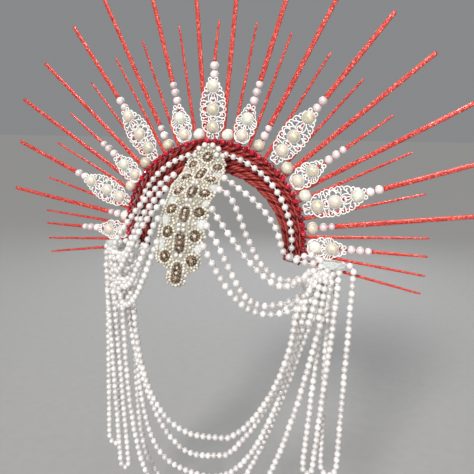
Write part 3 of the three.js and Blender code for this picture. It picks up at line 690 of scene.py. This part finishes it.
def makeSpikes():
    stretch = spikes["pearlStretch"]
    for number in range(len(spikeRows)):
        if number - 1 in joinedPairs:
            continue
        numbers = [number, number + 1] if number in joinedPairs else [number]
        for side, word in ((1, "left"), (-1, "right")) if number else ((1, "centre"),):
            rods, pearls, base, lace, domes = Shape(), Shape(), Shape(), Shape(), Shape()
            for member in numbers:
                length, trim, left, right = spikeRows[member]
                line = SpikeLine(*(left if side > 0 else right), side)
                shift = 0 if member else spikes["centreShift"]
                threaded = [(at + shift, size) for at, size in threadedPearls[trim]]
                low, high = spikes["baseRadius"], tips.get(member, spikes[length + "Tip"])
                size = spikes[length + "Size"]
                if threaded:
                    top = threaded[-1][0] + threaded[-1][1] - spikes["bladeSink"]
                    addBlade(rods, line, low, top + spikes["rodOverlap"], (spikes["rodRadius"] * 2,) * 3)
                    addBlade(rods, line, top, high, size, 0 if member else spikes["centreBladeLean"])
                else:
                    addBlade(rods, line, low, high, size)
                for order, (at, size) in enumerate(threaded):
                    beads = base if trim == "pearls" and order == 0 else pearls
                    addBead(beads, balls["large"], line.at(0, 0, at), size, line.along, stretch)
                if trim in leafShapes:
                    addLeaf(lace, domes, line, trim, shift)
            group = "_".join(str(member) for member in numbers)
            node = ("spikes_" if len(numbers) > 1 else "spike_") + group + "_" + word
            makePiece(node + "_rod", rods, "glitter", "red_glitter", node)
            if number in joinedPairs:
                angle, radius = joinedPairs[number]
                centre = onFan(angle * side, radius, spikes["basePearlY"])
                outward = (centre - onFan(0, 0, spikes["basePearlY"])).normalized()
                addBead(base, balls["large"], centre, spikes["basePearl"], outward)
            if base.verts:
                makePiece(node + "_base_pearl", base, "aurora", "pearl")
            if pearls.verts:
                makePiece(node + "_pearls", pearls, "lilac", "pearl")
            if lace.verts:
                makePiece(node + "_filigree", lace, "enamel", "white_enamel")
                makePiece(node + "_half_pearls", domes, "aurora", "pearl")


makeSpikes()
print("spikes, pearls and leaves made")


# Band of twisted cords, with a row of cut glass beads and a row of pearls

band = {
    "endAngle": 103, "outer": 96.5, "innerTop": 67, "innerEnd": 78, "narrowing": 1.6, "cords": 5,
    "backY": 4, "liningY": -0.6, "liningInset": 0.4, "liningBevel": (0.8, 1),
    # How far a cord's middle lies before the lining, and its plies' radius and place: all by its own width.
    "cordLift": 0.46, "plyRadius": 0.25, "plyOffset": 0.275, "plies": 3, "plyPitch": 15.9,
    # The first two shades are painted light: painted shade in the crevices between the plies and a painted
    # highlight on top of each ply; tone is each ply's own random shade.
    "paintedCreviceShade": -0.35, "paintedCrestHighlight": 0.62, "tone": 0.08,  # shade between the plies, on top, and each ply's own
    "redRadius": 98, "redY": -7.2, "redBead": 3.1, "redSmall": 1.9, "redPitch": 8.1, "redEnd": 94,
    "redCord": 0.7,
    "pearlRadius": 86.5, "pearlY": -8.5, "pearlBead": 3.35, "pearlPitch": 8.2, "pearlEnd": 100,
    "pearlThread": 0.65,
}


def bandInner(angle):
    return lerp(band["innerTop"], band["innerEnd"], (abs(angle) / band["endAngle"]) ** band["narrowing"])


def bandArc(end, radius, y, steps=120):
    return [onFan(lerp(-end, end, k / steps), radius, y) for k in range(steps + 1)]


def makeBand():
    # The stiff lining carries the cords and closes the band's back.
    lining = Shape()
    steps, sides = 120, 6
    bevelX, bevelY = band["liningBevel"]
    verts, faces = [], []
    for step in range(steps + 1):
        angle = lerp(-band["endAngle"], band["endAngle"], step / steps)
        low, high = bandInner(angle) + band["liningInset"], band["outer"] - band["liningInset"]
        ring = [(low + bevelX, band["backY"]), (low, band["backY"] - bevelY), (low, band["liningY"]),
                (high, band["liningY"]), (high, band["backY"] - bevelY), (high - bevelX, band["backY"])]
        verts += [onFan(angle, radius, y) for radius, y in ring]
    for step in range(steps):
        a, b = step * sides, (step + 1) * sides
        faces += [(a + s, a + (s + 1) % sides, b + (s + 1) % sides, b + s) for s in range(sides)]
    faces.append(tuple(range(sides - 1, -1, -1)))
    faces.append(tuple(range(steps * sides, (steps + 1) * sides)))
    lining.add(verts, faces, 0.4)
    makePiece("headband_lining", lining, "lining", "satin_cord", "headband")

    cords = Shape()
    for cord in range(band["cords"]):
        for ply in range(band["plies"]):
            points, sizes, middles = [], [], []
            steps, sides = 300, 9
            travelled = random.uniform(0, 6)
            previous = None
            for step in range(steps + 1):
                angle = lerp(-band["endAngle"], band["endAngle"], step / steps)
                inner = bandInner(angle)
                pitch = (band["outer"] - inner) / band["cords"]
                centreRadius = inner + pitch * (cord + 0.5)
                middle = onFan(angle, centreRadius, 0)
                if previous is not None:
                    travelled += (middle - previous).length
                previous = middle
                turn = 2 * math.pi * (travelled / band["plyPitch"] + ply / band["plies"])
                offset = pitch * band["plyOffset"]
                y = band["liningY"] - pitch * band["cordLift"]
                size = pitch * band["plyRadius"]
                middles.append((onFan(angle, centreRadius, y), size + offset))
                plyCentre = centreRadius + offset * math.cos(turn)
                points.append(onFan(angle, plyCentre, y + offset * math.sin(turn)))
                sizes.append(size)
            first = len(cords.verts)
            addTube(cords, points, sizes, sides)
            tone = random.uniform(-band["tone"], band["tone"])
            # Painted shade and highlight: each ply is painted dark where it turns in towards the cord's
            # middle and light on its outer crest.
            for k in range(first, len(cords.verts)):
                centre, reach = middles[(k - first) // sides]
                paintedLightMask = (cords.verts[k] - centre).length / reach  # 1 on the outside of the cord
                cords.shades[k] = lerp(band["paintedCreviceShade"], band["paintedCrestHighlight"], paintedLightMask ** 2) + tone
    makePiece("headband_cords", cords, "cord", "satin_cord")

    # Cut glass beads stand on the outer edge, large and small in turn, on one cord.
    reds, redCord = Shape(), Shape()
    arc = bandArc(band["redEnd"], band["redRadius"], band["redY"])
    for place, along in alongPath(arc, band["redPitch"], band["redBead"]):
        tilt = Vector((random.uniform(-0.2, 0.2), random.uniform(-0.2, 0.2), random.uniform(-0.2, 0.2)))
        size = band["redBead"] * random.uniform(0.94, 1.02)
        addBead(reds, rondelle, place, size, (along + tilt).normalized(), 1.05)
        addBead(reds, rondelle, place + along * (band["redPitch"] / 2), band["redSmall"], along, shade=0.1)
    addTube(redCord, arc, band["redCord"], shade=0.2)
    makePiece("red_beads", reds, "crimson", "red_glass", "red_bead_row", flat=True)
    makePiece("red_bead_cord", redCord, "cord", "satin_cord")

    pearls, thread = Shape(), Shape()
    arc = bandArc(band["pearlEnd"], band["pearlRadius"], band["pearlY"])
    for place, along in alongPath(arc, band["pearlPitch"], band["pearlBead"]):
        addBead(pearls, balls["pearl"], place + Vector((0, random.uniform(-0.2, 0.2), 0)),
                band["pearlBead"] * random.uniform(0.97, 1.04), along, 0.94)
    addTube(thread, arc, band["pearlThread"])
    makePiece("band_pearls", pearls, "pearl", "pearl", "band_pearl_row")
    makePiece("band_pearl_thread", thread, "thread", "pearl")


makeBand()
print("band made")


# Forehead plaque: a curved net with seed pearls and bronze flower stones sewn on

plaque = {
    "headRadius": 80, "length": 157.2, "netFront": 0.9, "netBack": -0.7, "netInset": 0.8, "puff": 0.35,
    "middle": [(-14.2, 30), (-14.5, 25), (-16, 15), (-22, 5), (-36, -2), (-52, -11), (-65, -24), (-74, -38),
               (-79, -50), (-82, -61), (-85, -71), (-87.5, -79), (-90, -86), (-92.5, -92),
               (-94, -96)],  # y, z
    # Distance down the middle, and how far the edge is there on the wearer's right and left.
    "edge": [(1.5, 4, 6), (4, 9, 11), (8, 12.5, 14), (13, 15.5, 16), (17, 19, 17), (22, 21.5, 20),
             (28, 21.5, 21.2), (33, 21, 20.6), (39, 21.6, 22.4), (46, 21.4, 21.2), (52, 23.2, 23),
             (57, 24, 24.4), (63, 22.4, 22.8), (69, 22, 22), (75, 22, 21), (81, 23, 20.6), (88, 23.6, 22.6),
             (96, 23.6, 22.2), (100, 21.8, 21.6), (103, 22.8, 21.2), (109, 23, 22.4), (115, 23.6, 21),
             (120, 24.4, 22), (124, 22.6, 20.2), (129, 23, 21), (133, 22.2, 21.4), (137, 19.8, 20.8),
             (139, 14, 19), (141, 7.8, 16.6), (143, 7.4, 12.6), (145, 7.4, 10.6), (150, 7.2, 10.4),
             (154, 5.8, 9.6), (157, 2.5, 6)],
    # Flowers: distance down and across their middle, half length and half width.
    "flowers": [(15.6, 0.8, 5.6, 5), (39.8, 0.6, 9.8, 4.2), (66.5, 1.6, 7.2, 4.4), (91, 1, 8, 4.6),
                (117, 0.8, 9.8, 4.8), (144.6, 1.4, 9.8, 4.8),
                (24, -13.2, 4.6, 4.6), (27, 12.8, 4.6, 4.6), (45, -12.6, 4.8, 4.8), (47, 13, 4.8, 4.4),
                (66, -12.4, 4.8, 4.8), (67, 13.6, 4.6, 4.8), (86, -13.6, 4.8, 5), (87.6, 13.8, 4.8, 4.8),
                (108, -12.8, 5.2, 5.2), (110, 13.8, 5.2, 4.6), (130.5, -12.5, 5.4, 5.4),
                (132.4, 13.4, 5, 4.6)],
    "seed": 1.5, "seedRoom": 2.72, "seedLift": 1.5, "grain": 0.95, "grainPitch": 1.72, "heart": 1.9,
    "heartLift": 2.7, "heartRoom": 1.6, "outlineGap": 1.25, "clear": 0.9, "tries": 9000,
    # Rings of petals in a round flower: how many, how far out by its size, the petals' size and lift.
    "petals": [(13, 0.83, 0.96, 1.7), (9, 0.52, 0.86, 2.3)],
    "topPearls": [(3.0, -3.4), (3.0, 5), (6.4, 11), (6.6, -9.4), (13, 15.6), (13.4, -13.6), (12.4, 9.4)],
    "middlePearls": [(101, -2.4), (101, 2.3), (105.4, -1.9), (105.3, 2.8), (128.4, -1.3), (128.6, 3.2),
                     (76.4, -1), (76.6, 3.2), (55, -1.6), (55.2, 2.4)],
    # Bare net shows here: distance down, across and reach.
    "bare": [(57, 20, 5), (31, -19, 4.4), (36.5, 16, 4.6), (54.5, -20, 3.4), (76, -18.5, 4.6),
             (76.5, 17.5, 4), (95.8, -19.6, 5.8), (97.5, 18.5, 5), (119.2, -20.4, 5.6), (121, 18, 5)],
}


def smoothMiddle():
    # The plaque's middle line, rounded at its corners, with its length from the top.
    rough = [Vector((0, y, z)) for y, z in plaque["middle"]]
    for _ in range(2):
        finer = [rough[0]]
        for a, b in zip(rough, rough[1:]):
            finer += [a.lerp(b, 0.25), a.lerp(b, 0.75)]
        rough = finer + [rough[-1]]
    lengths = [0.0]
    for a, b in zip(rough, rough[1:]):
        lengths.append(lengths[-1] + (b - a).length)
    return rough, lengths


plaqueLine, plaqueLengths = smoothMiddle()


def plaquePlace(down, across, lift):
    # A point over the plaque, with the direction that faces away from the head.
    def middleAt(distance):
        for k in range(len(plaqueLine) - 1):
            if distance <= plaqueLengths[k + 1] or k == len(plaqueLine) - 2:
                step = plaqueLengths[k + 1] - plaqueLengths[k]
                part = (distance - plaqueLengths[k]) / step if step else 0
                return plaqueLine[k] + (plaqueLine[k + 1] - plaqueLine[k]) * part
    down = down * plaqueLengths[-1] / plaque["length"]
    reach = 3  # its slope is taken over this far each way
    run = (middleAt(down + reach) - middleAt(down - reach)).normalized()
    outward = Vector((0, run.z, -run.y))
    lean = across / plaque["headRadius"]
    normal = (outward * math.cos(lean) + Vector((1, 0, 0)) * math.sin(lean)).normalized()
    drop = across * across / (2 * plaque["headRadius"])
    return middleAt(down) + Vector((across, 0, 0)) - outward * drop + normal * lift, normal


def edgeAt(down, side):
    rows = [(row[0], row[2] if side > 0 else row[1]) for row in plaque["edge"]]
    for (a, wide), (b, following) in zip(rows, rows[1:]):
        if down <= b:
            return lerp(wide, following, max(0.0, (down - a) / (b - a)))
    return rows[-1][1]


def inFlower(down, across, grow):
    # True where a place lies on a flower, or nearer to it than grow.
    for d, a, tall, wide in plaque["flowers"]:
        along = max(abs(down - d) - max(tall - wide, 0), 0)
        if math.hypot(along, across - a) < wide + grow:
            return True
    return False


def nearBare(down, across):
    # How far a place is from the nearest bare patch; it is negative inside one.
    return min(math.hypot(down - d, across - a) - reach for d, a, reach in plaque["bare"])


def makePlaqueNet():
    net = Shape()
    first, last = plaque["edge"][0][0], plaque["edge"][-1][0]
    rows, columns = 110, 26
    for lift, puffed in ((plaque["netFront"], plaque["puff"]), (plaque["netBack"], 0)):
        for row in range(rows + 1):
            down = lerp(first, last, row / rows)
            low, high = plaque["netInset"] - edgeAt(down, -1), edgeAt(down, 1) - plaque["netInset"]
            for column in range(columns + 1):
                across = lerp(low, high, column / columns)
                puff = puffed * noise.noise(Vector((across * 0.25, down * 0.25, 3)))
                edge = 1 - 0.6 * abs(2 * column / columns - 1) ** 6  # the hem is thinner
                net.verts.append(plaquePlace(down, across, (lift + puff) * edge)[0])
                # Painted shadow: the net turns from its bare white to the painted shadow colour away from the
                # bare patches, where it lies among the beads.
                net.shades.append(min(max(0.5 - nearBare(down, across) / 3, 0.0), 1.0))
    closeSheet(net, rows, columns, False)
    makePiece("forehead_plaque_net", net, "tulle", "mesh_fabric", "forehead_plaque")


def makeFlowers():
    # A round flower has two rings of bronze petals round a pale heart. A long one is packed with small
    # bronze beads round three hearts.
    flowers, hearts = Shape(), Shape()
    for down, across, tall, wide in plaque["flowers"]:
        spine = max(tall - wide, 0)
        long = spine > 2
        heartPlaces = [down - spine * 0.95, down, down + spine * 0.95] if long else [down]
        for place in heartPlaces:
            centre, normal = plaquePlace(place, across, plaque["heartLift"])
            size = plaque["heart"] * (random.uniform(0.7, 1) if long else 1)
            addBead(hearts, rondelle, centre, size, normal)
        if not long:
            for petals, part, size, rise in plaque["petals"]:
                turned = random.uniform(0, 6)
                for k in range(petals):
                    turn = turned + 2 * math.pi * (k + random.uniform(-0.12, 0.12)) / petals
                    c, s = math.cos(turn) * wide, math.sin(turn) * tall
                    inner = plaquePlace(down + s * (part - 0.2), across + c * (part - 0.2), rise + 0.3)[0]
                    outer = plaquePlace(down + s * part, across + c * part, rise)[0]
                    addBead(flowers, balls["seed"], inner.lerp(outer, 0.6), size * random.uniform(0.9, 1.1),
                            (outer - inner).normalized(), 1.65)
            continue
        pitch = plaque["grainPitch"]
        rows = int(tall / pitch) + 2
        for row in range(-rows, rows + 1):
            for column in range(-4, 5):
                d = row * pitch * 0.87
                a = (column + 0.5 * (row % 2)) * pitch
                reach = math.hypot(max(abs(d) - spine, 0), a)
                toHeart = min(math.hypot(down + d - place, a) for place in heartPlaces)
                if reach > wide - 0.6 or toHeart < plaque["heartRoom"]:
                    continue
                rise = 2.5 - 0.9 * (reach / wide) ** 2
                centre, normal = plaquePlace(down + d + random.uniform(-0.2, 0.2),
                                             across + a + random.uniform(-0.2, 0.2),
                                             rise + random.uniform(-0.25, 0.25))
                size = plaque["grain"] * random.uniform(0.9, 1.1)
                addBead(flowers, balls["seed"], centre, size, normal, 0.85)
    return flowers, hearts


def makeSeeds():
    # Seed pearls: a line round each flower and along the edge, then the spaces between.
    seeds, tops = Shape(), Shape()
    spots = []
    room = plaque["seedRoom"] * 0.93
    first, last = 1.5, 157  # the ends of the beaded part

    def trySpot(down, across):
        tooWide = abs(across) > edgeAt(down, across) + 0.4
        if down < first or down > last or tooWide or inFlower(down, across, plaque["clear"]):
            return
        if all((down - d) ** 2 + (across - a) ** 2 > room ** 2 for d, a in spots):
            spots.append((down, across))

    for kind, size, lift, gap in (("topPearls", 2.8, 1.6, 1.4), ("middlePearls", 2.0, 1.7, 0.8)):
        for down, across in plaque[kind]:
            centre, normal = plaquePlace(down, across, lift)
            addBead(tops, balls["pearl"], centre, size, normal)
            spots += [(down + d, across + a) for d in (-gap, gap) for a in (-gap, gap)]
    held = len(spots)
    for down, across, tall, wide in plaque["flowers"]:
        spine = max(tall - wide, 0)
        reach = wide + plaque["outlineGap"]
        outline = []
        for k in range(48):
            turn = 2 * math.pi * k / 48
            d = reach * math.sin(turn) + math.copysign(spine, math.sin(turn))
            outline.append(Vector((down + d, across + reach * math.cos(turn), 0)))
        for place, _ in alongPath(outline + outline[:1], plaque["seedRoom"] * 1.04):
            trySpot(place.x, place.y)
    for side in (1, -1):
        for step in range(310):
            down = 2 + step / 2
            trySpot(down, side * (edgeAt(down, side) - 0.6))
    for _ in range(plaque["tries"]):
        down, across = random.uniform(2, 156), random.uniform(-24, 24)
        if nearBare(down, across) >= 0:
            trySpot(down, across)
    for down, across in spots[held:]:
        size = plaque["seed"] * random.uniform(0.9, 1.12)
        centre, normal = plaquePlace(down, across, plaque["seedLift"] + random.uniform(-0.2, 0.3))
        addBead(seeds, balls["seed"], centre, size, normal)
    print("seed pearls:", len(spots))
    return seeds, tops


def makePlaque():
    makePlaqueNet()
    flowers, hearts = makeFlowers()
    seeds, tops = makeSeeds()
    makePiece("forehead_plaque_flowers", flowers, "bronze", "bronze_stone")
    makePiece("forehead_plaque_hearts", hearts, "champagne", "bronze_stone", flat=True)
    makePiece("forehead_plaque_seed_pearls", seeds, "cream", "seed_pearl")
    makePiece("forehead_plaque_top_pearls", tops, "pearl", "pearl")


makePlaque()
print("plaque made")


# Strings of pearls

strings = {
    "radius": 3.4, "browPitch": 8.5, "pitch": 7.3, "start": 2.72, "stretch": 0.96,
    "thread": 0.6, "threadSides": 5, "looseness": 0.25,
}
# Brow strings: number, side, then the corners of a curve from the plaque's edge to the gathered bundle, and
# the two corners that carry it on up to the tulle that holds the bundle.
browStrings = [
    (1, 1, (24, -38, -1), (116, -40, -52), (55, -34, -72), (106, -18, -82), (112, -15, -80), (116, -10, -80)),
    (2, 1, (25, -55, -12), (54, -57, 0), (49, -42, -129), (107, -17, -92), (114, -13, -88), (120, -9, -84)),
    (3, 1, (24, -67, -26), (106, -69, -141), (96, -50, -72), (106, -22, -103),
     (111, -18, -98), (116, -12, -88)),
    (4, 1, (22, -75, -40), (61, -77, -91), (44, -54, -144), (106, -20, -112),
     (116, -18, -100), (118, -14, -88)),
    (5, 1, (21, -80, -58), (38, -82, -79), (49, -56, -157), (107, -20, -121),
     (118, -22, -112), (124, -16, -88)),
    (1, -1, (-24, -38, -1), (-50, -40, -8), (-112, -34, -89), (-106, -18, -84),
     (-105, -16, -80), (-106, -10, -80)),
    (2, -1, (-25, -55, -12), (-72, -57, -49), (-79, -42, -110), (-106, -17, -96),
     (-110, -14, -92), (-112, -10, -84)),
    (3, -1, (-25, -60, -24), (-60, -62, -48), (-89, -47, -126), (-106, -22, -104),
     (-111, -18, -98), (-114, -12, -88)),
    (4, -1, (-23, -74, -38), (-35, -76, -40), (-71, -53, -152), (-106, -20, -117),
     (-114, -16, -104), (-116, -14, -88)),
    (5, -1, (-22, -80, -58), (-26, -82, -60), (-73, -56, -182), (-106, -20, -127),
     (-116, -14, -112), (-120, -12, -90)),
]
neckTopZ = -146.3
# Neck loops: middle, bottom and its y, then for the right and the left side the half width at the top, how
# far it leans in, where down its fall it starts to round, how wide it is at the bottom, and its y.
neckLoops = [
    (26.6, -275.8, -38, (80.3, 8.2, 1.34, 0.2, -30), (96.6, 8.7, 0.57, 0.2, -30.2)),
    (22.6, -302.5, -30.8, (94.4, 37, 1.38, 0.2, -22.8), (98.6, 0.1, 0.3, 0.2, -23)),
    (-1.3, -338.5, -23.6, (91.8, 10.4, 0.91, 0.7, -15.6), (103.2, 15.7, 0.24, 0.68, -15.8)),
    (8.9, -373.9, -16.4, (94.3, 5.8, 0.89, 1.08, -8.4), (109.8, 10.9, 0.1, 0.4, -8.6)),
    (5.9, -398, -30, (93.9, 3.9, 0.68, 0.89, -30), (119.7, 10.5, 0.2, 0.58, -23)),
]
# Where each neck loop comes out of the tulle, x, y and z, and its y on the way down, right and left.
neckStarts = [
    ((-100, -14, -90, -25), (106, -15, -90, -22)),
    ((-106, -13, -90, -20), (113, -13, -90, -20)),
    ((-109, -11, -90, -16), (118, -13, -90, -17)),
    ((-114, -9, -90, -10), (124, -10, -90, -12)),
    ((-118, -13, -90, -24), (129, -13, -90, -18)),
]
# Side loops: y, x of the outer leg at its top and low down, the same of the inner leg, and the bottom.
sideLoops = {
    "outer_left": (-6.6, (147.6, 143.4), (124.5, 126.5), -316),
    "inner_left": (-15, (131.9, 119.5), (119.6, 109.3), -312),
    "outer_right": (-6.6, (-127.5, -133), (-119, -119.5), -340),
    "inner_right": (-15, (-122, -113), (-114, -102), -362),
}
sideLoopSag = 3
shoulderZ = -88  # the outer left loop starts at its bundle's shoulder


def addString(pearls, thread, points, pitch):
    for place, along in alongPath(points, pitch, strings["start"]):
        wander = Vector([random.uniform(-1, 1) for _ in range(3)]) * strings["looseness"]
        size = strings["radius"] * random.uniform(0.965, 1.02)
        addBead(pearls, balls["pearl"], place + wander, size, along, strings["stretch"])
    everyOther = points[::2] + ([points[-1]] if len(points) % 2 == 0 else [])
    addTube(thread, everyOther, strings["thread"], strings["threadSides"])


def makeString(name, points, pitch):
    pearls, thread = Shape(), Shape()
    addString(pearls, thread, points, pitch)
    makePiece(name + "_pearls", pearls, "pearl", "pearl", name)
    makePiece(name + "_thread", thread, "thread", "pearl")


def neckLoopPath(middle, bottom, bottomY, sides, starts):
    path = []
    for side, (half, lean, drop, width, y), (startX, startY, startZ, wayY) in zip((-1, 1), sides, starts):
        fall = drop * (neckTopZ - bottom)
        rise = 18  # the string still has its slope this far above
        top = (side * half, y, neckTopZ)
        upper = cubic(((startX, startY, startZ), (lerp(startX, side * half, 0.2), wayY, startZ - 22),
                       (side * (half + lean / fall * rise), y, neckTopZ + rise), top), 20)
        lower = cubic((top, (side * (half - lean), y, neckTopZ - fall),
                       (middle + side * half * width, bottomY, bottom), (middle, bottomY, bottom)), 60)
        leg = upper + lower[1:]
        path = leg if side < 0 else path + leg[::-1][1:]
    return path


def sideLoopPath(y, outer, inner, bottom, fromShoulder):
    side = 1 if outer[0] > 0 else -1
    turnZ = bottom + abs(outer[1] - inner[1])
    under = bottom - sideLoopSag
    outerTop, outerLow = (outer[0], y, shoulderZ if fromShoulder else neckTopZ), (outer[1], y, turnZ)
    innerTop, innerLow = (inner[0], y, neckTopZ), (inner[1], y, turnZ)
    if fromShoulder:
        path = cubic(((134, -4, -84), (141, -5, -82.5), (146.6, y, -82.6), outerTop), 12)[:-1]
    else:
        path = cubic(((outer[0] - side, -6, -86), (outer[0] + side * 1.5, -6, -104),
                      (outer[0] + side, y, -128), outerTop), 16)[:-1]
    steps = 40
    path += [Vector(outerTop).lerp(Vector(outerLow), k / steps) for k in range(steps + 1)]
    path += cubic((outerLow, (outer[1], y, under), (inner[1], y, under), innerLow), 16)[1:]
    path += [Vector(innerLow).lerp(Vector(innerTop), k / steps) for k in range(1, steps + 1)]
    path += cubic((innerTop, (inner[0], y, -128), (inner[0] - side, -8, -104),
    (inner[0] - side * 2, -7, -86)),
                  16)[1:]
    return path


def makeStrings():
    for number, side, start, out, into, end, rise, top in browStrings:
        onward = Vector(end) + (Vector(end) - Vector(into)).normalized() * 5
        path = cubic((start, out, into, end), 60) + cubic((end, onward, rise, top), 20)[1:]
        name = "brow_string_%d_%s" % (number, "left" if side > 0 else "right")
        makeString(name, path, strings["browPitch"])
    for number, (middle, bottom, bottomY, *sides) in enumerate(neckLoops):
        path = neckLoopPath(middle, bottom, bottomY, sides, neckStarts[number])
        makeString("neck_loop_%d" % (number + 1), path, strings["pitch"])
    for name, loop in sideLoops.items():
        makeString("side_loop_" + name, sideLoopPath(*loop, name == "outer_left"), strings["pitch"])


makeStrings()
print("strings made")


# Gathered bundles: stiff tulle glued to the spikes, with the ends of the strings and a few short ones

tuft = {
    "middleZ": -85.2, "tall": 11, "frontY": -6.5, "swell": 7.5, "backY": -4.2, "crumple": 1.6, "shade": 0.85,
}
# For each side, where its tulle lies across, and its short strings as corners of smooth lines. The first one
# crosses the band's end to the tulle, and the others fan out under it.
bundle = {
    "left": {"x": (114, 139), "strings": [
        ((84, -7, -80.4), (89.4, -10, -81.2), (95.2, -10, -79.2), (101.8, -10, -76.7), (108, -9, -76),
         (116, -8, -81)),
        ((134.3, -9, -88), (134.5, -12, -97), (134, -14, -110), (132.4, -12, -132), (131.4, -9, -144)),
        ((127, -13, -92), (125.8, -18, -108), (125.5, -19, -125.5), (126.4, -14, -144)),
        ((124, -14, -90), (123.6, -23, -101), (122.6, -26, -113), (119.4, -25, -138)),
        ((118, -14, -90), (118.6, -26, -102), (115, -31, -121), (110.4, -30, -140)),
        ((122, -14, -89), (110.7, -24, -105), (99.5, -27, -116), (88, -28, -125), (84, -30, -130)),
        ((110, -16, -96), (106.4, -24, -112), (105.6, -26, -129), (102.5, -24, -141.5)),
        ((101, -18, -112), (98.4, -24, -124), (97.4, -26, -131), (95.4, -24, -144)),
        ((107, -14, -88.5), (103.5, -20, -95), (99, -23, -100), (91, -25, -104.5), (82.6, -27, -105.7)),
    ]},
    "right": {"x": (101, 127), "strings": [
        ((77, -7, -82.5), (86, -10, -84), (96, -10, -80), (104, -8, -80)),
        ((124.6, -9, -92), (124.2, -13, -111), (122.8, -12, -130), (122, -8, -144)),
        ((81.6, -12, -70), (90.3, -14, -78), (95.6, -18, -92), (100.8, -20, -105), (103, -18, -118),
         (101, -14, -136)),
        ((88, -16, -90.5), (90.3, -20, -106), (93.4, -22, -115.5), (99, -22, -124)),
        ((70, -24, -81), (77.6, -28, -97), (84.7, -29, -112), (93.7, -26, -123.5), (104, -22, -126),
         (112, -16, -116), (116, -12, -100)),
        ((61.8, -28, -81), (71.7, -31, -105), (79.3, -32, -126), (92.5, -30, -146.6), (99.5, -27, -150),
         (106.4, -22, -148.4), (112, -18, -142.8), (117, -14, -120), (118, -11, -96)),
        ((108, -12, -92), (110, -18, -108), (109, -20, -126), (106, -16, -142)),
        ((103, -12, -92), (103, -17, -108), (99, -18, -128), (97, -14, -142)),
    ]},
}


def makeTulle(name, low, high, side):
    # A crumpled patch, thick in its middle and narrow at its ends.
    net = Shape()
    rows, columns = 16, 30
    for front in (True, False):
        for row in range(rows + 1):
            for column in range(columns + 1):
                across, down = column / columns, row / rows
                x = lerp(low, high, across) * side
                tall = tuft["tall"] * (0.4 + 0.6 * math.sin(math.pi * min(max(across, 0.04), 0.96)) ** 0.6)
                z = tuft["middleZ"] - (down - 0.5) * tall + 1.8 * noise.noise(Vector((x * 0.35, 5, down * 2)))
                swell = math.sin(math.pi * min(max(across, 0.02), 0.98)) ** 0.5
                swell *= math.sin(math.pi * (0.15 + 0.7 * down))
                crumple = tuft["crumple"] * noise.noise(Vector((x * 0.4, z * 0.4, 0)))
                y = tuft["frontY"] - tuft["swell"] * swell + crumple if front else tuft["backY"]
                net.verts.append(Vector((x, y, z)))
                net.shades.append(tuft["shade"])
    closeSheet(net, rows, columns, side < 0)
    makePiece(name + "_tulle", net, "tulle", "mesh_fabric", name)


def makeBundles():
    for word, side in (("left", 1), ("right", -1)):
        name = "gathered_bundle_" + word
        makeTulle(name, *bundle[word]["x"], side)
        pearls, thread = Shape(), Shape()
        for corners in bundle[word]["strings"]:
            line = smoothed([(side * x, y, z) for x, y, z in corners], 8)
            addString(pearls, thread, line, strings["pitch"])
        makePiece(name + "_pearls", pearls, "pearl", "pearl")
        makePiece(name + "_thread", thread, "thread", "pearl")


makeBundles()
print("bundles made")
